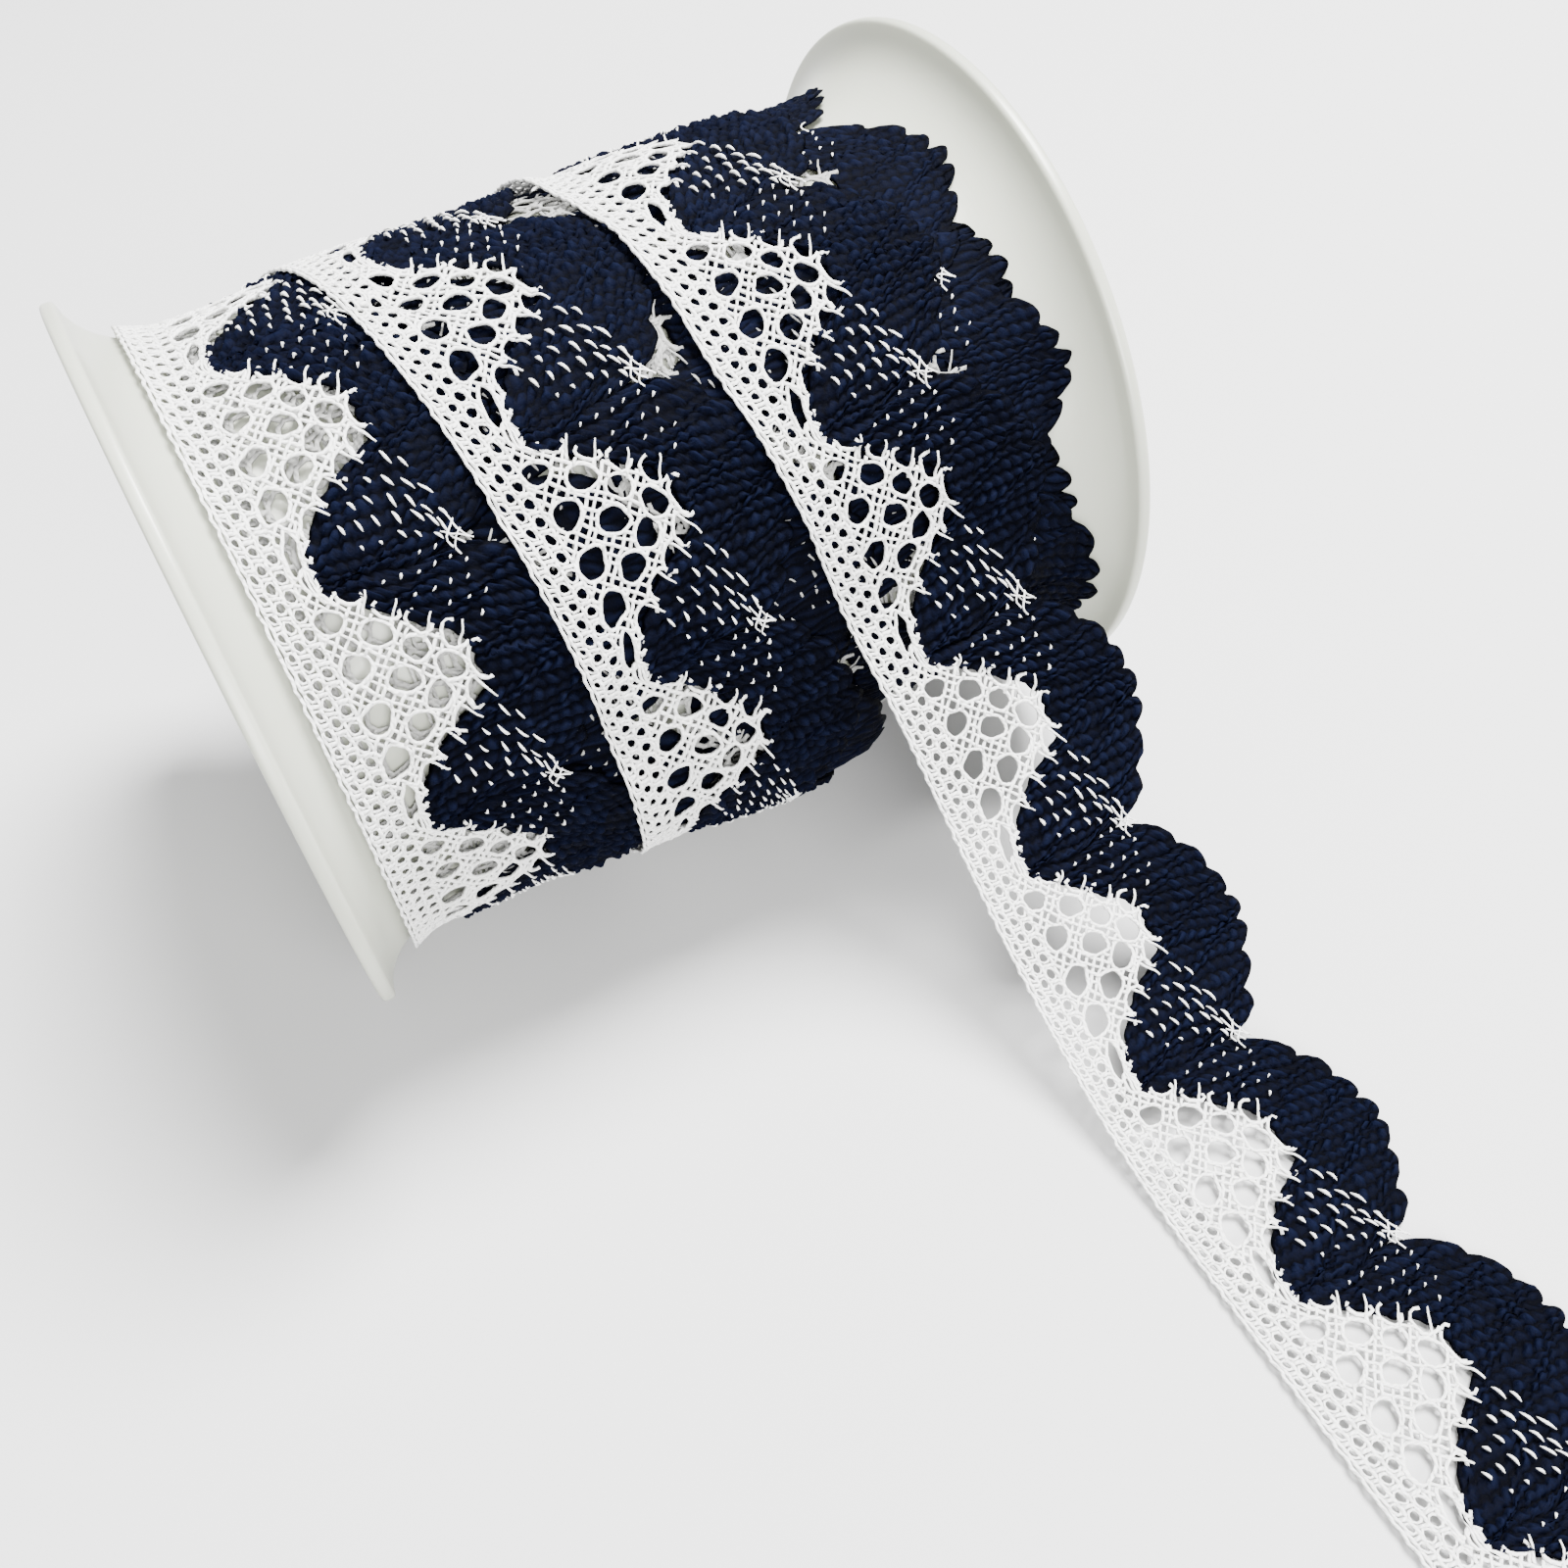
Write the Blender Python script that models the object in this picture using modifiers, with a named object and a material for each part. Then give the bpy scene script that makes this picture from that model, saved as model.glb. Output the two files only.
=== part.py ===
"""A reel of crochet lace trim, lying on both rims with its loose end run out on the table.

Millimetres are written as MM multiples, so every length below is in metres.
The reel's axis lies along X, the loose end runs towards -Y, and the table is z = 0.
Angles round the reel are in degrees: 0 is the top, 90 the front, and they grow with the lace's run.
"""
import math

import bmesh
import bpy
import numpy as np

MM = 0.001

# The reel: a thin moulded tube whose ends flare into two rims.
RIM_RADIUS = 37.0 * MM
REEL_HALF = 43.2 * MM          # from the middle to a rim's outer face
RIM_THICKNESS = 1.4 * MM
BARREL_RADIUS = 30.7 * MM
FLARE_START = 31.5 * MM        # where the tube begins to flare
WALL = 1.4 * MM
FLAT_DEPTH = 0.12 * MM         # what each rim is flattened by where it stands
REEL_SIDES = 72
FLARE_STEPS = 8

# The lace, flat: one repeat, the width at a valley and at a scallop's crown.
REPEAT = 24.2 * MM
WIDTH_VALLEY = 19.4 * MM
WIDTH_CROWN = 25.9 * MM
VALLEY_PHASE = 0.12            # a valley's place in the repeat, which starts at the slit
CROWN_POWER = 0.6              # lower values make fuller scallops
NET_THICKNESS = 1.0 * MM       # the open white net
CLOTH_THICKNESS = 1.4 * MM     # the closely worked navy scallops
GAP = 0.3 * MM                 # between pieces that touch

# Where the white net ends and the navy begins: phase in the repeat, distance from the straight edge.
NET_EDGE = np.array([
    (-0.29, 15.5 * MM),
    (0.04, 6.4 * MM),
    (0.14, 6.4 * MM),
    (0.41, 15.4 * MM),
    (0.56, 16.0 * MM),
    (0.71, 15.5 * MM),
    (1.04, 6.4 * MM),
])

# The top layer's lay: angle along the winding, place of the straight edge, slack taken up.
LAY = np.array([
    (-400.0, -38.1 * MM, -9.0 * MM),
    (0.0, -38.1 * MM, -9.0 * MM),
    (113.0, -38.1 * MM, -9.0 * MM),
    (240.0, -31.5 * MM, -4.5 * MM),
    (355.0, -20.7 * MM, 0.0),
    (395.0, -17.6 * MM, 0.0),
    (440.0, -15.2 * MM, 0.0),
    (490.0, -13.4 * MM, 0.0),
    (610.0, -5.2 * MM, 0.0),
    (720.0, 4.3 * MM, 0.0),
    (758.0, 6.2 * MM, 0.0),
    (797.4, 9.8 * MM, 0.0),
    (1080.0, 25.0 * MM, 0.0),
    (1440.0, 46.0 * MM, 0.0),
    (1900.0, 70.0 * MM, 0.0),
])
LEAVES_AT = 797.4              # where the loose end leaves the roll
SLIT_AT_TOP = 4.1 * MM         # from the top of the third turn to the next slit
WOUND_RADIUS = 33.0 * MM       # over the top layer
UNDER_RADIUS = 31.6 * MM       # over the layer below it
LAP_RISE = 1.1 * MM            # how far an edge rides up on the scallops beside it
LAP_WIDTH = 8.0 * MM
THIRD_TURN = 720.0

# The layer below shows past the last turn, out to these scallops by the right rim.
UNDER_EDGE = 12.8 * MM
UNDER_PHASE = 0.35
LEFT_END = -38.1 * MM
SKIN = 0.9 * MM                # least thickness of the winding on the flare

# The loose end: its fall to the table, seen from the side, and its straight edge's run.
FALL_LEAVES = 16.0 * MM        # how far it keeps the winding's direction
FALL_LANDS = 28.0 * MM         # how far it keeps the table's direction
LANDS_AT = -87.7 * MM          # from the reel's axis, along Y
ENDS_AT = -139.0 * MM
LOOSE_EDGE = np.array([
    (0.0, 9.8 * MM),
    (11.0 * MM, 11.6 * MM),
    (22.0 * MM, 12.7 * MM),
    (44.0 * MM, 13.4 * MM),
    (66.0 * MM, 13.2 * MM),
    (100.0 * MM, 12.4 * MM),
    (140.0 * MM, 12.0 * MM),
])

ROLL_ROWS = 120
ROWS_A_REPEAT = 14
BAND_COLUMNS = (0.0, 0.03, 0.2, 0.42, 0.64, 0.82, 0.985)
STEP_ANGLE = 0.5               # degrees that the winding takes to step down where the end leaves
LOOSE_ANGLE = LEAVES_AT + 2 * STEP_ANGLE   # where the loose end's own sheet starts, a hair past the step

# The origin is the middle of the whole part's base.
AXIS_Y = -(ENDS_AT + RIM_RADIUS) / 2
AXIS_Z = RIM_RADIUS - FLAT_DEPTH


def clear_scene():
    for thing in list(bpy.data.objects):
        bpy.data.objects.remove(thing, do_unlink=True)
    for group in list(bpy.data.collections):
        bpy.data.collections.remove(group)


def make_collection(name):
    group = bpy.data.collections.new(name)
    bpy.context.scene.collection.children.link(group)
    return group


def make_material(name, colour, roughness, metallic=0.0):
    material = bpy.data.materials.new(name)
    material.use_nodes = True
    shader = material.node_tree.nodes["Principled BSDF"]
    shader.inputs["Base Color"].default_value = (*colour, 1.0)
    shader.inputs["Roughness"].default_value = roughness
    shader.inputs["Metallic"].default_value = metallic
    material.diffuse_color = (*colour, 1.0)
    return material


def make_object(name, mesh, group, material=None):
    thing = bpy.data.objects.new(name, mesh)
    group.objects.link(thing)
    if material is not None:
        mesh.materials.append(material)
    return thing


def smooth_through(table, column, where):
    """A smooth curve through a table's rows: cubic pieces whose slopes are the rows' own mean slopes."""
    knots, values = table[:, 0], table[:, column]
    slopes = np.gradient(values, knots)
    flat = np.diff(values) == 0
    slopes[:-1][flat] = 0.0
    slopes[1:][flat] = 0.0
    where = np.clip(where, knots[0], knots[-1])
    piece = np.clip(np.searchsorted(knots, where, side="right") - 1, 0, len(knots) - 2)
    span = knots[piece + 1] - knots[piece]
    t = (where - knots[piece]) / span
    start = values[piece] * (1 + 2 * t) * (1 - t) ** 2 + slopes[piece] * span * t * (1 - t) ** 2
    end = values[piece + 1] * t * t * (3 - 2 * t) + slopes[piece + 1] * span * t * t * (t - 1)
    return start + end


def lace_width(along):
    """Distance from the straight edge to the scallops, at a length along the lace from a slit."""
    phase = np.mod(along / REPEAT - VALLEY_PHASE, 1.0)
    return WIDTH_VALLEY + (WIDTH_CROWN - WIDTH_VALLEY) * np.sin(np.pi * phase) ** CROWN_POWER


def net_edge(along):
    """Distance from the straight edge to where the navy work begins."""
    phase = np.mod(along / REPEAT, 1.0)
    return np.interp(phase, NET_EDGE[:, 0], NET_EDGE[:, 1])


def flare_radius(x):
    """Outer radius of the reel's tube and flare: a quarter of an ellipse out to the rim."""
    reach = REEL_HALF - RIM_THICKNESS - FLARE_START
    part = np.clip((np.abs(x) - FLARE_START) / reach, 0.0, 1.0)
    return RIM_RADIUS - (RIM_RADIUS - BARREL_RADIUS) * np.sqrt(1.0 - part ** 2)


def straight_edge(angle):
    return smooth_through(LAY, 1, angle)


def length_along(angle):
    """Length along the top layer, counted from a slit, at an angle of the winding."""
    slack = smooth_through(LAY, 2, angle)
    return np.radians(angle - THIRD_TURN) * WOUND_RADIUS - SLIT_AT_TOP - slack


def under_end(angle):
    """Right end of the winding: the scallops of the layer below."""
    along = np.radians(angle) * WOUND_RADIUS
    # A whole number of repeats goes round, so that the scallops meet.
    repeats = round(2 * math.pi * WOUND_RADIUS / REPEAT)
    along = along * repeats * REPEAT / (2 * math.pi * WOUND_RADIUS)
    return UNDER_EDGE + lace_width(along - UNDER_PHASE * REPEAT)


def wound_height(angle, x):
    """Radius of the winding's surface: the layer below, and each turn of the top layer over it."""
    radius = np.full(x.shape, UNDER_RADIUS)
    turns = int((LEAVES_AT + 400.0) // 360.0)
    for turn in range(-1, turns):
        here = angle + 360.0 * turn
        across = x - straight_edge(here)
        along = length_along(here)
        covered = (across >= -1e-7) & (across <= lace_width(along)) & (here <= LEAVES_AT + 1e-6)
        thickness = np.where(across > net_edge(along), CLOTH_THICKNESS, NET_THICKNESS)
        laps = np.clip((straight_edge(here) - LEFT_END) / LAP_WIDTH, 0.0, 1.0)
        rise = LAP_RISE * np.clip(1.0 - across / LAP_WIDTH, 0.0, 1.0) * laps
        radius = np.where(covered, UNDER_RADIUS + thickness + rise, radius)
    return np.maximum(radius, flare_radius(x) + GAP + SKIN)


def roll_rows():
    """Angles of the winding's rows, with a close pair where the loose end leaves."""
    rows = np.linspace(0.0, 360.0, ROLL_ROWS, endpoint=False)
    leaves = LEAVES_AT - THIRD_TURN
    nearest = int(np.argmin(np.abs(rows - leaves)))
    rows[nearest] = leaves
    return np.insert(rows, nearest + 1, leaves + STEP_ANGLE)


def on_reel(x, angle, radius):
    """World places of points round the reel's axis."""
    turn = np.radians(angle)
    return np.stack([x, AXIS_Y - radius * np.sin(turn), AXIS_Z + radius * np.cos(turn)], -1)


def grid_faces(rows, columns, wrap_shift=None):
    """Quads between neighbouring rows of a grid; a shift joins the last row to the first."""
    faces = []
    for row in range(rows - 1):
        for column in range(columns - 1):
            a = row * columns + column
            faces.append((a, a + 1, a + columns + 1, a + columns))
    if wrap_shift is not None:
        last = (rows - 1) * columns
        for column in range(columns - 1 - wrap_shift):
            far = column + wrap_shift
            faces.append((last + column, last + column + 1, far + 1, far))
    return faces


def close_mesh(name, places, faces, merge):
    """A closed mesh from loose faces: doubles merged, empty faces dropped, faces turned outwards."""
    mesh = bpy.data.meshes.new(name)
    mesh.from_pydata([tuple(p) for p in places], [], faces)
    shape = bmesh.new()
    shape.from_mesh(mesh)
    bmesh.ops.remove_doubles(shape, verts=shape.verts, dist=merge)
    bmesh.ops.dissolve_degenerate(shape, edges=shape.edges, dist=merge * 0.1)
    bmesh.ops.triangulate(shape, faces=shape.faces)
    bmesh.ops.recalc_face_normals(shape, faces=shape.faces)
    shape.to_mesh(mesh)
    shape.free()
    return mesh


def round_piece(thing, angle=35.0):
    """Smooth shading, with edges sharper than the angle kept."""
    thing.data.shade_smooth()
    thing.data.set_sharp_from_angle(angle=math.radians(angle))


def reel_profile():
    """Half of the reel's section, from the middle out: (x, radius) down the outer side and back inside."""
    reach = REEL_HALF - RIM_THICKNESS - FLARE_START
    outer = []
    for step in range(FLARE_STEPS + 1):
        part = math.sin(math.pi / 2 * step / FLARE_STEPS)
        x = FLARE_START + reach * part
        outer.append((x, float(flare_radius(x))))
    round_off = RIM_THICKNESS * 0.3
    rim = [
        (REEL_HALF - RIM_THICKNESS + round_off * 0.4, RIM_RADIUS),
        (REEL_HALF - round_off, RIM_RADIUS),
        (REEL_HALF, RIM_RADIUS - round_off),
        (REEL_HALF, RIM_RADIUS - RIM_THICKNESS - 2 * round_off),
    ]
    outer[-1] = (REEL_HALF - RIM_THICKNESS, RIM_RADIUS - round_off)
    inner = []
    for step in range(FLARE_STEPS - 1, -1, -1):
        slope = math.pi / 2 * step / FLARE_STEPS
        x = FLARE_START + (reach + WALL * 0.6) * math.sin(slope)
        radius = RIM_RADIUS - (RIM_RADIUS - BARREL_RADIUS) * math.cos(slope)
        inner.append((x, radius - WALL * (1.0 + 0.35 * math.sin(slope))))
    return outer + rim + inner


def build_reel(group, cutters, material):
    """The moulded reel: one turned section with a through bore, flattened under both rims."""
    right = reel_profile()
    left = [(-x, radius) for x, radius in reversed(right)]
    section = right + left
    mesh = bpy.data.meshes.new("reel_section")
    count = len(section)
    places = [(radius, 0.0, -x) for x, radius in section]
    edges = [(i, (i + 1) % count) for i in range(count)]
    mesh.from_pydata(places, edges, [])
    section_object = make_object("reel_section", mesh, group, material)
    screw = section_object.modifiers.new("Turn", "SCREW")
    screw.axis = "Z"
    screw.angle = math.radians(360.0)
    screw.steps = REEL_SIDES
    screw.render_steps = REEL_SIDES
    screw.use_merge_vertices = True
    screw.merge_threshold = 0.00001
    screw.use_normal_calculate = True
    evaluated = section_object.evaluated_get(bpy.context.evaluated_depsgraph_get())
    turned = bpy.data.meshes.new_from_object(evaluated)
    bpy.data.objects.remove(section_object, do_unlink=True)
    reel = make_object("spool", turned, group)
    reel.rotation_euler = (0.0, math.radians(90.0), 0.0)
    reel.location = (0.0, AXIS_Y, AXIS_Z)

    side = 4 * RIM_RADIUS
    floor_mesh = bpy.data.meshes.new("floor_cutter")
    shape = bmesh.new()
    bmesh.ops.create_cube(shape, size=side)
    shape.to_mesh(floor_mesh)
    shape.free()
    cutter = make_object("floor_cutter", floor_mesh, cutters)
    cutter.location = (0.0, AXIS_Y, -side / 2)
    cutter.hide_render = True
    cutter.display_type = "WIRE"
    cut = reel.modifiers.new("Flat spots", "BOOLEAN")
    cut.object = cutter
    cut.operation = "DIFFERENCE"
    cut.solver = "EXACT"
    round_piece(reel)
    return reel


def build_roll(group, material):
    """The winding: one ring on the reel, its surface stepped by the turns and scalloped at its right end."""
    angles = roll_rows()
    rows = len(angles)
    a_turn = len(BAND_COLUMNS)
    turns = range(-1, 4)
    fractions = np.array(BAND_COLUMNS)
    columns = len(turns) * a_turn
    x = np.empty((rows, columns))
    for index, turn in enumerate(turns):
        here = straight_edge(angles + 360.0 * turn)[:, None]
        after = straight_edge(angles + 360.0 * (turn + 1))[:, None]
        x[:, index * a_turn:(index + 1) * a_turn] = here + (after - here) * fractions
    right_end = under_end(angles)[:, None]
    x = np.clip(x, LEFT_END, right_end)
    angle = np.broadcast_to(angles[:, None], x.shape)
    # A hair inside each edge, so that a step's foot reads the turn beside it.
    probe = np.where(np.arange(columns) % a_turn == 0, x - 2e-6, x)
    radius = wound_height(angle, probe)
    outer = on_reel(x, angle, radius).reshape(-1, 3)
    faces = grid_faces(rows, columns, wrap_shift=a_turn)

    # The lining follows the reel's tube and flare, a hair off it, from the right end back to the left.
    lining_parts = np.array([1.0, 0.88, 0.0, 0.0, 0.88, 1.0])
    signs = np.array([1, 1, 1, -1, -1, -1])
    right = right_end - FLARE_START
    left = -LEFT_END - FLARE_START
    reach = np.where(signs > 0, right, left)
    lining_x = signs * (FLARE_START + reach * lining_parts)
    lining_angle = np.broadcast_to(angles[:, None], lining_x.shape)
    lining_radius = flare_radius(lining_x) + GAP
    lining_radius[:, 1] += 0.05 * MM
    lining_radius[:, 4] += 0.05 * MM
    lining = on_reel(lining_x, lining_angle, lining_radius).reshape(-1, 3)
    offset = len(outer)
    count = lining_x.shape[1]
    ring = [tuple(i + offset for i in face) for face in grid_faces(rows, count, wrap_shift=0)]

    # The end walls join the surface's first and last columns to the lining's ends.
    for row in range(rows):
        following = (row + 1) % rows
        low_a = offset + row * count
        low_b = offset + following * count
        top_a = row * columns
        top_b = following * columns
        ring.append((top_a + columns - 1, low_a, low_b, top_b + columns - 1))
        ring.append((top_b, low_b + count - 1, low_a + count - 1, top_a))
    mesh = close_mesh("lace_roll", np.concatenate([outer, lining]), faces + ring, 2e-6)
    mesh.materials.append(material)
    roll = make_object("lace_roll", mesh, group)
    round_piece(roll, 30.0)
    return roll


def fall_curve(steps=400):
    """The loose end's underside from the side: a cubic Bezier off the winding, then the table."""
    turn = math.radians(LOOSE_ANGLE - THIRD_TURN)
    radius = WOUND_RADIUS + GAP
    start = np.array([-radius * math.sin(turn), AXIS_Z + radius * math.cos(turn)])
    leaves = start + FALL_LEAVES * np.array([-math.cos(turn), -math.sin(turn)])
    lands = np.array([LANDS_AT, 0.0])
    before = lands + np.array([FALL_LANDS, 0.0])
    t = np.linspace(0.0, 1.0, steps)[:, None]
    curve = (start * (1 - t) ** 3 + leaves * 3 * t * (1 - t) ** 2
             + before * 3 * t * t * (1 - t) + lands * t ** 3)
    curve = np.concatenate([curve, [(ENDS_AT, 0.0)]])
    return curve


def build_loose_end(group, material):
    """The loose end: a scalloped sheet on the fall curve, thicker in its navy work."""
    curve = fall_curve()
    steps = np.linalg.norm(np.diff(curve, axis=0), axis=1)
    lengths = np.concatenate([[0.0], np.cumsum(steps)])
    total = lengths[-1]
    rows = int(round(total / REPEAT * ROWS_A_REPEAT))
    s = np.linspace(0.0, total, rows)
    y = np.interp(s, lengths, curve[:, 0])
    z = np.interp(s, lengths, curve[:, 1])
    slope = np.arctan2(np.gradient(z, s), np.gradient(y, s))
    slope[s > lengths[-2]] = math.pi
    normal = np.stack([np.sin(slope), -np.cos(slope)], -1)
    along = length_along(np.array([LOOSE_ANGLE]))[0] + s
    edge = smooth_through(LOOSE_EDGE, 1, s)
    navy = net_edge(along)
    width = lace_width(along)
    across = np.stack([np.zeros(rows), navy - 0.4 * MM, navy + 0.4 * MM, width - 0.3 * MM, width], -1)
    thickness = np.array([NET_THICKNESS, NET_THICKNESS, CLOTH_THICKNESS, CLOTH_THICKNESS, NET_THICKNESS])
    x = edge[:, None] + across
    columns = across.shape[1]
    under = np.stack([x, np.repeat(y[:, None], columns, 1), np.repeat(z[:, None], columns, 1)], -1)
    over = under.copy()
    over[..., 1] += normal[:, :1] * thickness
    over[..., 2] += normal[:, 1:] * thickness
    places = np.concatenate([under.reshape(-1, 3), over.reshape(-1, 3)])
    places[:, 1] += AXIS_Y
    offset = rows * columns
    flat = grid_faces(rows, columns)
    faces = [tuple(reversed(face)) for face in flat] + [tuple(i + offset for i in face) for face in flat]
    rim = [row * columns for row in range(rows)]
    rim += [(rows - 1) * columns + column for column in range(1, columns)]
    rim += [row * columns + columns - 1 for row in range(rows - 2, -1, -1)]
    rim += list(range(columns - 2, 0, -1))
    for here, following in zip(rim, rim[1:] + rim[:1]):
        faces.append((here, following, following + offset, here + offset))
    mesh = close_mesh("loose_end", places, faces, 1e-6)
    mesh.materials.append(material)
    sheet = make_object("loose_end", mesh, group)
    round_piece(sheet, 30.0)
    return sheet


def main():
    clear_scene()
    part = make_collection("roll_of_lace_trim")
    cutters = make_collection("cutters")
    plastic = make_material("milky_plastic", (0.86, 0.87, 0.83), 0.28)
    lace = make_material("wound_lace", (0.03, 0.045, 0.14), 0.85)
    cotton = make_material("loose_lace", (0.80, 0.80, 0.77), 0.85)
    build_reel(part, cutters, plastic)
    build_roll(part, lace)
    build_loose_end(part, cotton)


main()
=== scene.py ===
import math

import bpy
import numpy as np
from mathutils import Matrix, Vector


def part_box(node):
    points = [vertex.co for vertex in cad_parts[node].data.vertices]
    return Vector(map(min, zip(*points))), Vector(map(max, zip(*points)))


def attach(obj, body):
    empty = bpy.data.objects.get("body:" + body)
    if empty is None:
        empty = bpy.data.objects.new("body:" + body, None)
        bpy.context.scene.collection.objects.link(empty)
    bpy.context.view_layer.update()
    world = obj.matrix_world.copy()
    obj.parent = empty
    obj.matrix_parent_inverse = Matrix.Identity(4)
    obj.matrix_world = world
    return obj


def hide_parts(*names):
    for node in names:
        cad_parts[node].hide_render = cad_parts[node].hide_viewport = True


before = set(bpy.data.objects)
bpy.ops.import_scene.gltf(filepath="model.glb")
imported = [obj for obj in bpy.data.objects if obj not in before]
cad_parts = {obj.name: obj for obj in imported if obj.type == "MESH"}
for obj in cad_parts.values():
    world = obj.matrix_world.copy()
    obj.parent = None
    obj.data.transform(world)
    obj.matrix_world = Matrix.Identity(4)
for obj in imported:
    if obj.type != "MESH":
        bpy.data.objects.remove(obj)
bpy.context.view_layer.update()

bl_info = {
    "name": "Roll of lace trim",
    "version": (1, 0, 0),
    "blender": (4, 5, 0),
    "location": "3D View > Sidebar > Lace trim",
    "description": "A reel of two-coloured lace trim with its loose end run out on a table",
    "category": "Object",
}

MM = 0.001

# The reel lies along X. Angles round it are in degrees: 0 is the top, 90 the front, and they
# grow with the lace's run. The loose end runs towards -Y over the table at z = 0.
SPOOL_LOW, SPOOL_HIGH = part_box("spool")
END_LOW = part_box("loose_end")[0]
REEL_HALF = SPOOL_HIGH.x
RIM_RADIUS = (SPOOL_HIGH.y - SPOOL_LOW.y) / 2
AXIS_Y = (SPOOL_HIGH.y + SPOOL_LOW.y) / 2
AXIS_Z = SPOOL_HIGH.z - RIM_RADIUS
RIM_THICKNESS = 1.4 * MM
BARREL_RADIUS = 30.7 * MM
FLARE_START = 31.5 * MM
WALL = 1.4 * MM

# The lace, flat, measured along it from a slit and across it from the straight edge.
REPEAT = 24.2 * MM
VALLEY = 3.05 * MM             # where the scallops' valley lies after a slit
BUMPS = 7                      # rounded bumps round one scallop
BUMP_DEPTH = 1.15 * MM
# Phase from a valley, distance of the scallop's outline from the straight edge.
OUTLINE = np.array([
    (0.0, 17.0), (0.034, 18.9), (0.08, 20.4), (0.145, 22.0), (0.235, 23.5), (0.33, 24.5), (0.39, 24.8),
    (0.51, 25.3), (0.57, 25.2), (0.65, 24.4), (0.727, 23.4), (0.80, 22.4), (0.913, 20.8), (0.959, 19.5),
    (0.983, 18.2), (1.0, 17.0),
]) * (1.0, MM)
# Phase from a slit, distance of the navy work's inner edge from the straight edge.
INNER_EDGE = np.array([
    (-0.33, 14.6), (-0.285, 12.8), (-0.233, 10.5), (-0.163, 8.5), (-0.07, 6.8), (-0.025, 5.9),
    (0.045, 5.4), (0.135, 5.4), (0.17, 6.3), (0.205, 7.9), (0.28, 10.1), (0.355, 12.0), (0.42, 14.2),
    (0.485, 14.8), (0.615, 14.8), (0.67, 14.6),
]) * (1.0, MM)

# The winding: angle and place of the straight edge in millimetres. Before TOP_STARTS_AT the lace is
# in the layers below: the deepest turn, then two along the right rim, then on to the left rim.
LAY = np.array([
    (-2600.0, -21.0), (-2260.0, -21.0), (-2205.0, 8.5), (-2124.0, 11.8), (-1950.0, 9.4),
    (-1800.0, 11.9), (-1780.0, 12.4), (-1758.0, 13.2), (-1744.0, 13.5), (-1709.0, 15.2),
    (-1680.0, 14.6), (-1560.0, 8.4), (-1410.0, -0.5), (-1350.0, -2.6), (-1230.0, -6.0),
    (-1050.0, -10.2), (-1005.0, -10.6), (-950.0, -10.8), (-800.0, -20.5), (-705.0, -28.0),
    (-675.0, -28.5), (-635.0, -29.5), (-500.0, -34.0), (-360.0, -37.0), (-100.0, -38.0),
    (0.0, -38.1), (113.0, -38.1), (240.0, -31.5), (355.0, -20.7), (395.0, -17.6), (440.0, -15.2),
    (490.0, -13.4), (610.0, -5.2), (720.0, 4.3), (758.0, 6.2), (797.4, 9.8), (1080.0, 25.0),
]) * (1.0, MM)
# Slack taken up in the top turns: angle, millimetres.
SLACK = np.array([
    (-60.0, -9.0), (96.0, -9.0), (126.0, -6.0), (240.0, -3.0), (355.0, 0.0), (430.0, 0.0), (477.0, 2.2),
    (560.0, 2.0), (680.0, 0.0), (1080.0, 0.0),
]) * (1.0, MM)
# The layers below: the angles at which some of their slits lie, and the slits' numbers.
SLITS_BELOW = np.array([
    (-2600.0, -77.4), (-2496.0, -75.0), (-2149.0, -67.0), (-1768.1, -58.0), (-1727.5, -57.0),
    (-1404.0, -50.0), (-1075.2, -42.0), (-1035.0, -41.0), (-642.0, -32.0), (-362.8, -26.0),
    (-278.8, -24.0), (-86.8, -19.0), (-60.0, -18.3617),
])
STARTS_AT = -2580.0
DEEP_ENDS_AT = -2250.0         # the deepest turn lies under the middle turn's net
EDGE_STARTS_AT = -2180.0       # the next two lie along the right rim
RIM_SHOWS_FROM = -1830.0       # between these two their scallops show at the rim
RIM_SHOWS_TO = -1610.0
TOP_STARTS_AT = -60.0
NET_SHOWS_FROM = -240.0        # from here the net of the layer below shows at the back
LEAVES_AT = 797.4
SECOND_TURN = 360.0
THIRD_TURN = 720.0
LOOSE_FROM = 2                 # the loose end's pieces start at this valley, just past the roll
SLIT_AT_TOP = 4.1 * MM
WOUND_RADIUS = 33.0 * MM
LOOSE_RADIUS = 33.3 * MM
UNDER_BASE = 30.95 * MM
TOP_BASE = 31.3 * MM
UNDER_SQUASH = 0.5
UNDER_RISE = 0.25 * MM         # how far a turn rides up on each turn of the layers below
TOP_RISE = 0.9 * MM            # and on each turn of the top layer
LAP_FADE = 4.0 * MM            # how far across a turn's edge the rise comes in
FLARE_GAP = 0.2 * MM           # between the reel's flare and the lace
START_EASE = 12.0              # degrees over which the lace's very start comes in
TOP_EASE = 60.0                # over which the top layer's base and rise come in
SQUASH_EASE = 40.0             # and over which its turns come up to their full height
TURNS_BACK = 7                 # how many earlier turns can lie under one
SAG_TURNS_FROM = -1080.0       # later turns hang off the roll low on the front
SAG_IN, SAG_IN_EASE = 78.0, 45.0
SAG_OUT, SAG_OUT_EASE = 150.0, 60.0
# How far they hang off it: x, how far out, both in millimetres.
SAG = np.array([
    (-22.0, 0.1), (-14.0, 2.1), (-8.0, 2.5), (-2.6, 3.2), (3.0, 3.9), (9.0, 4.2), (13.0, 3.8), (17.0, 2.6),
    (23.0, 0.2),
]) * MM

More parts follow.
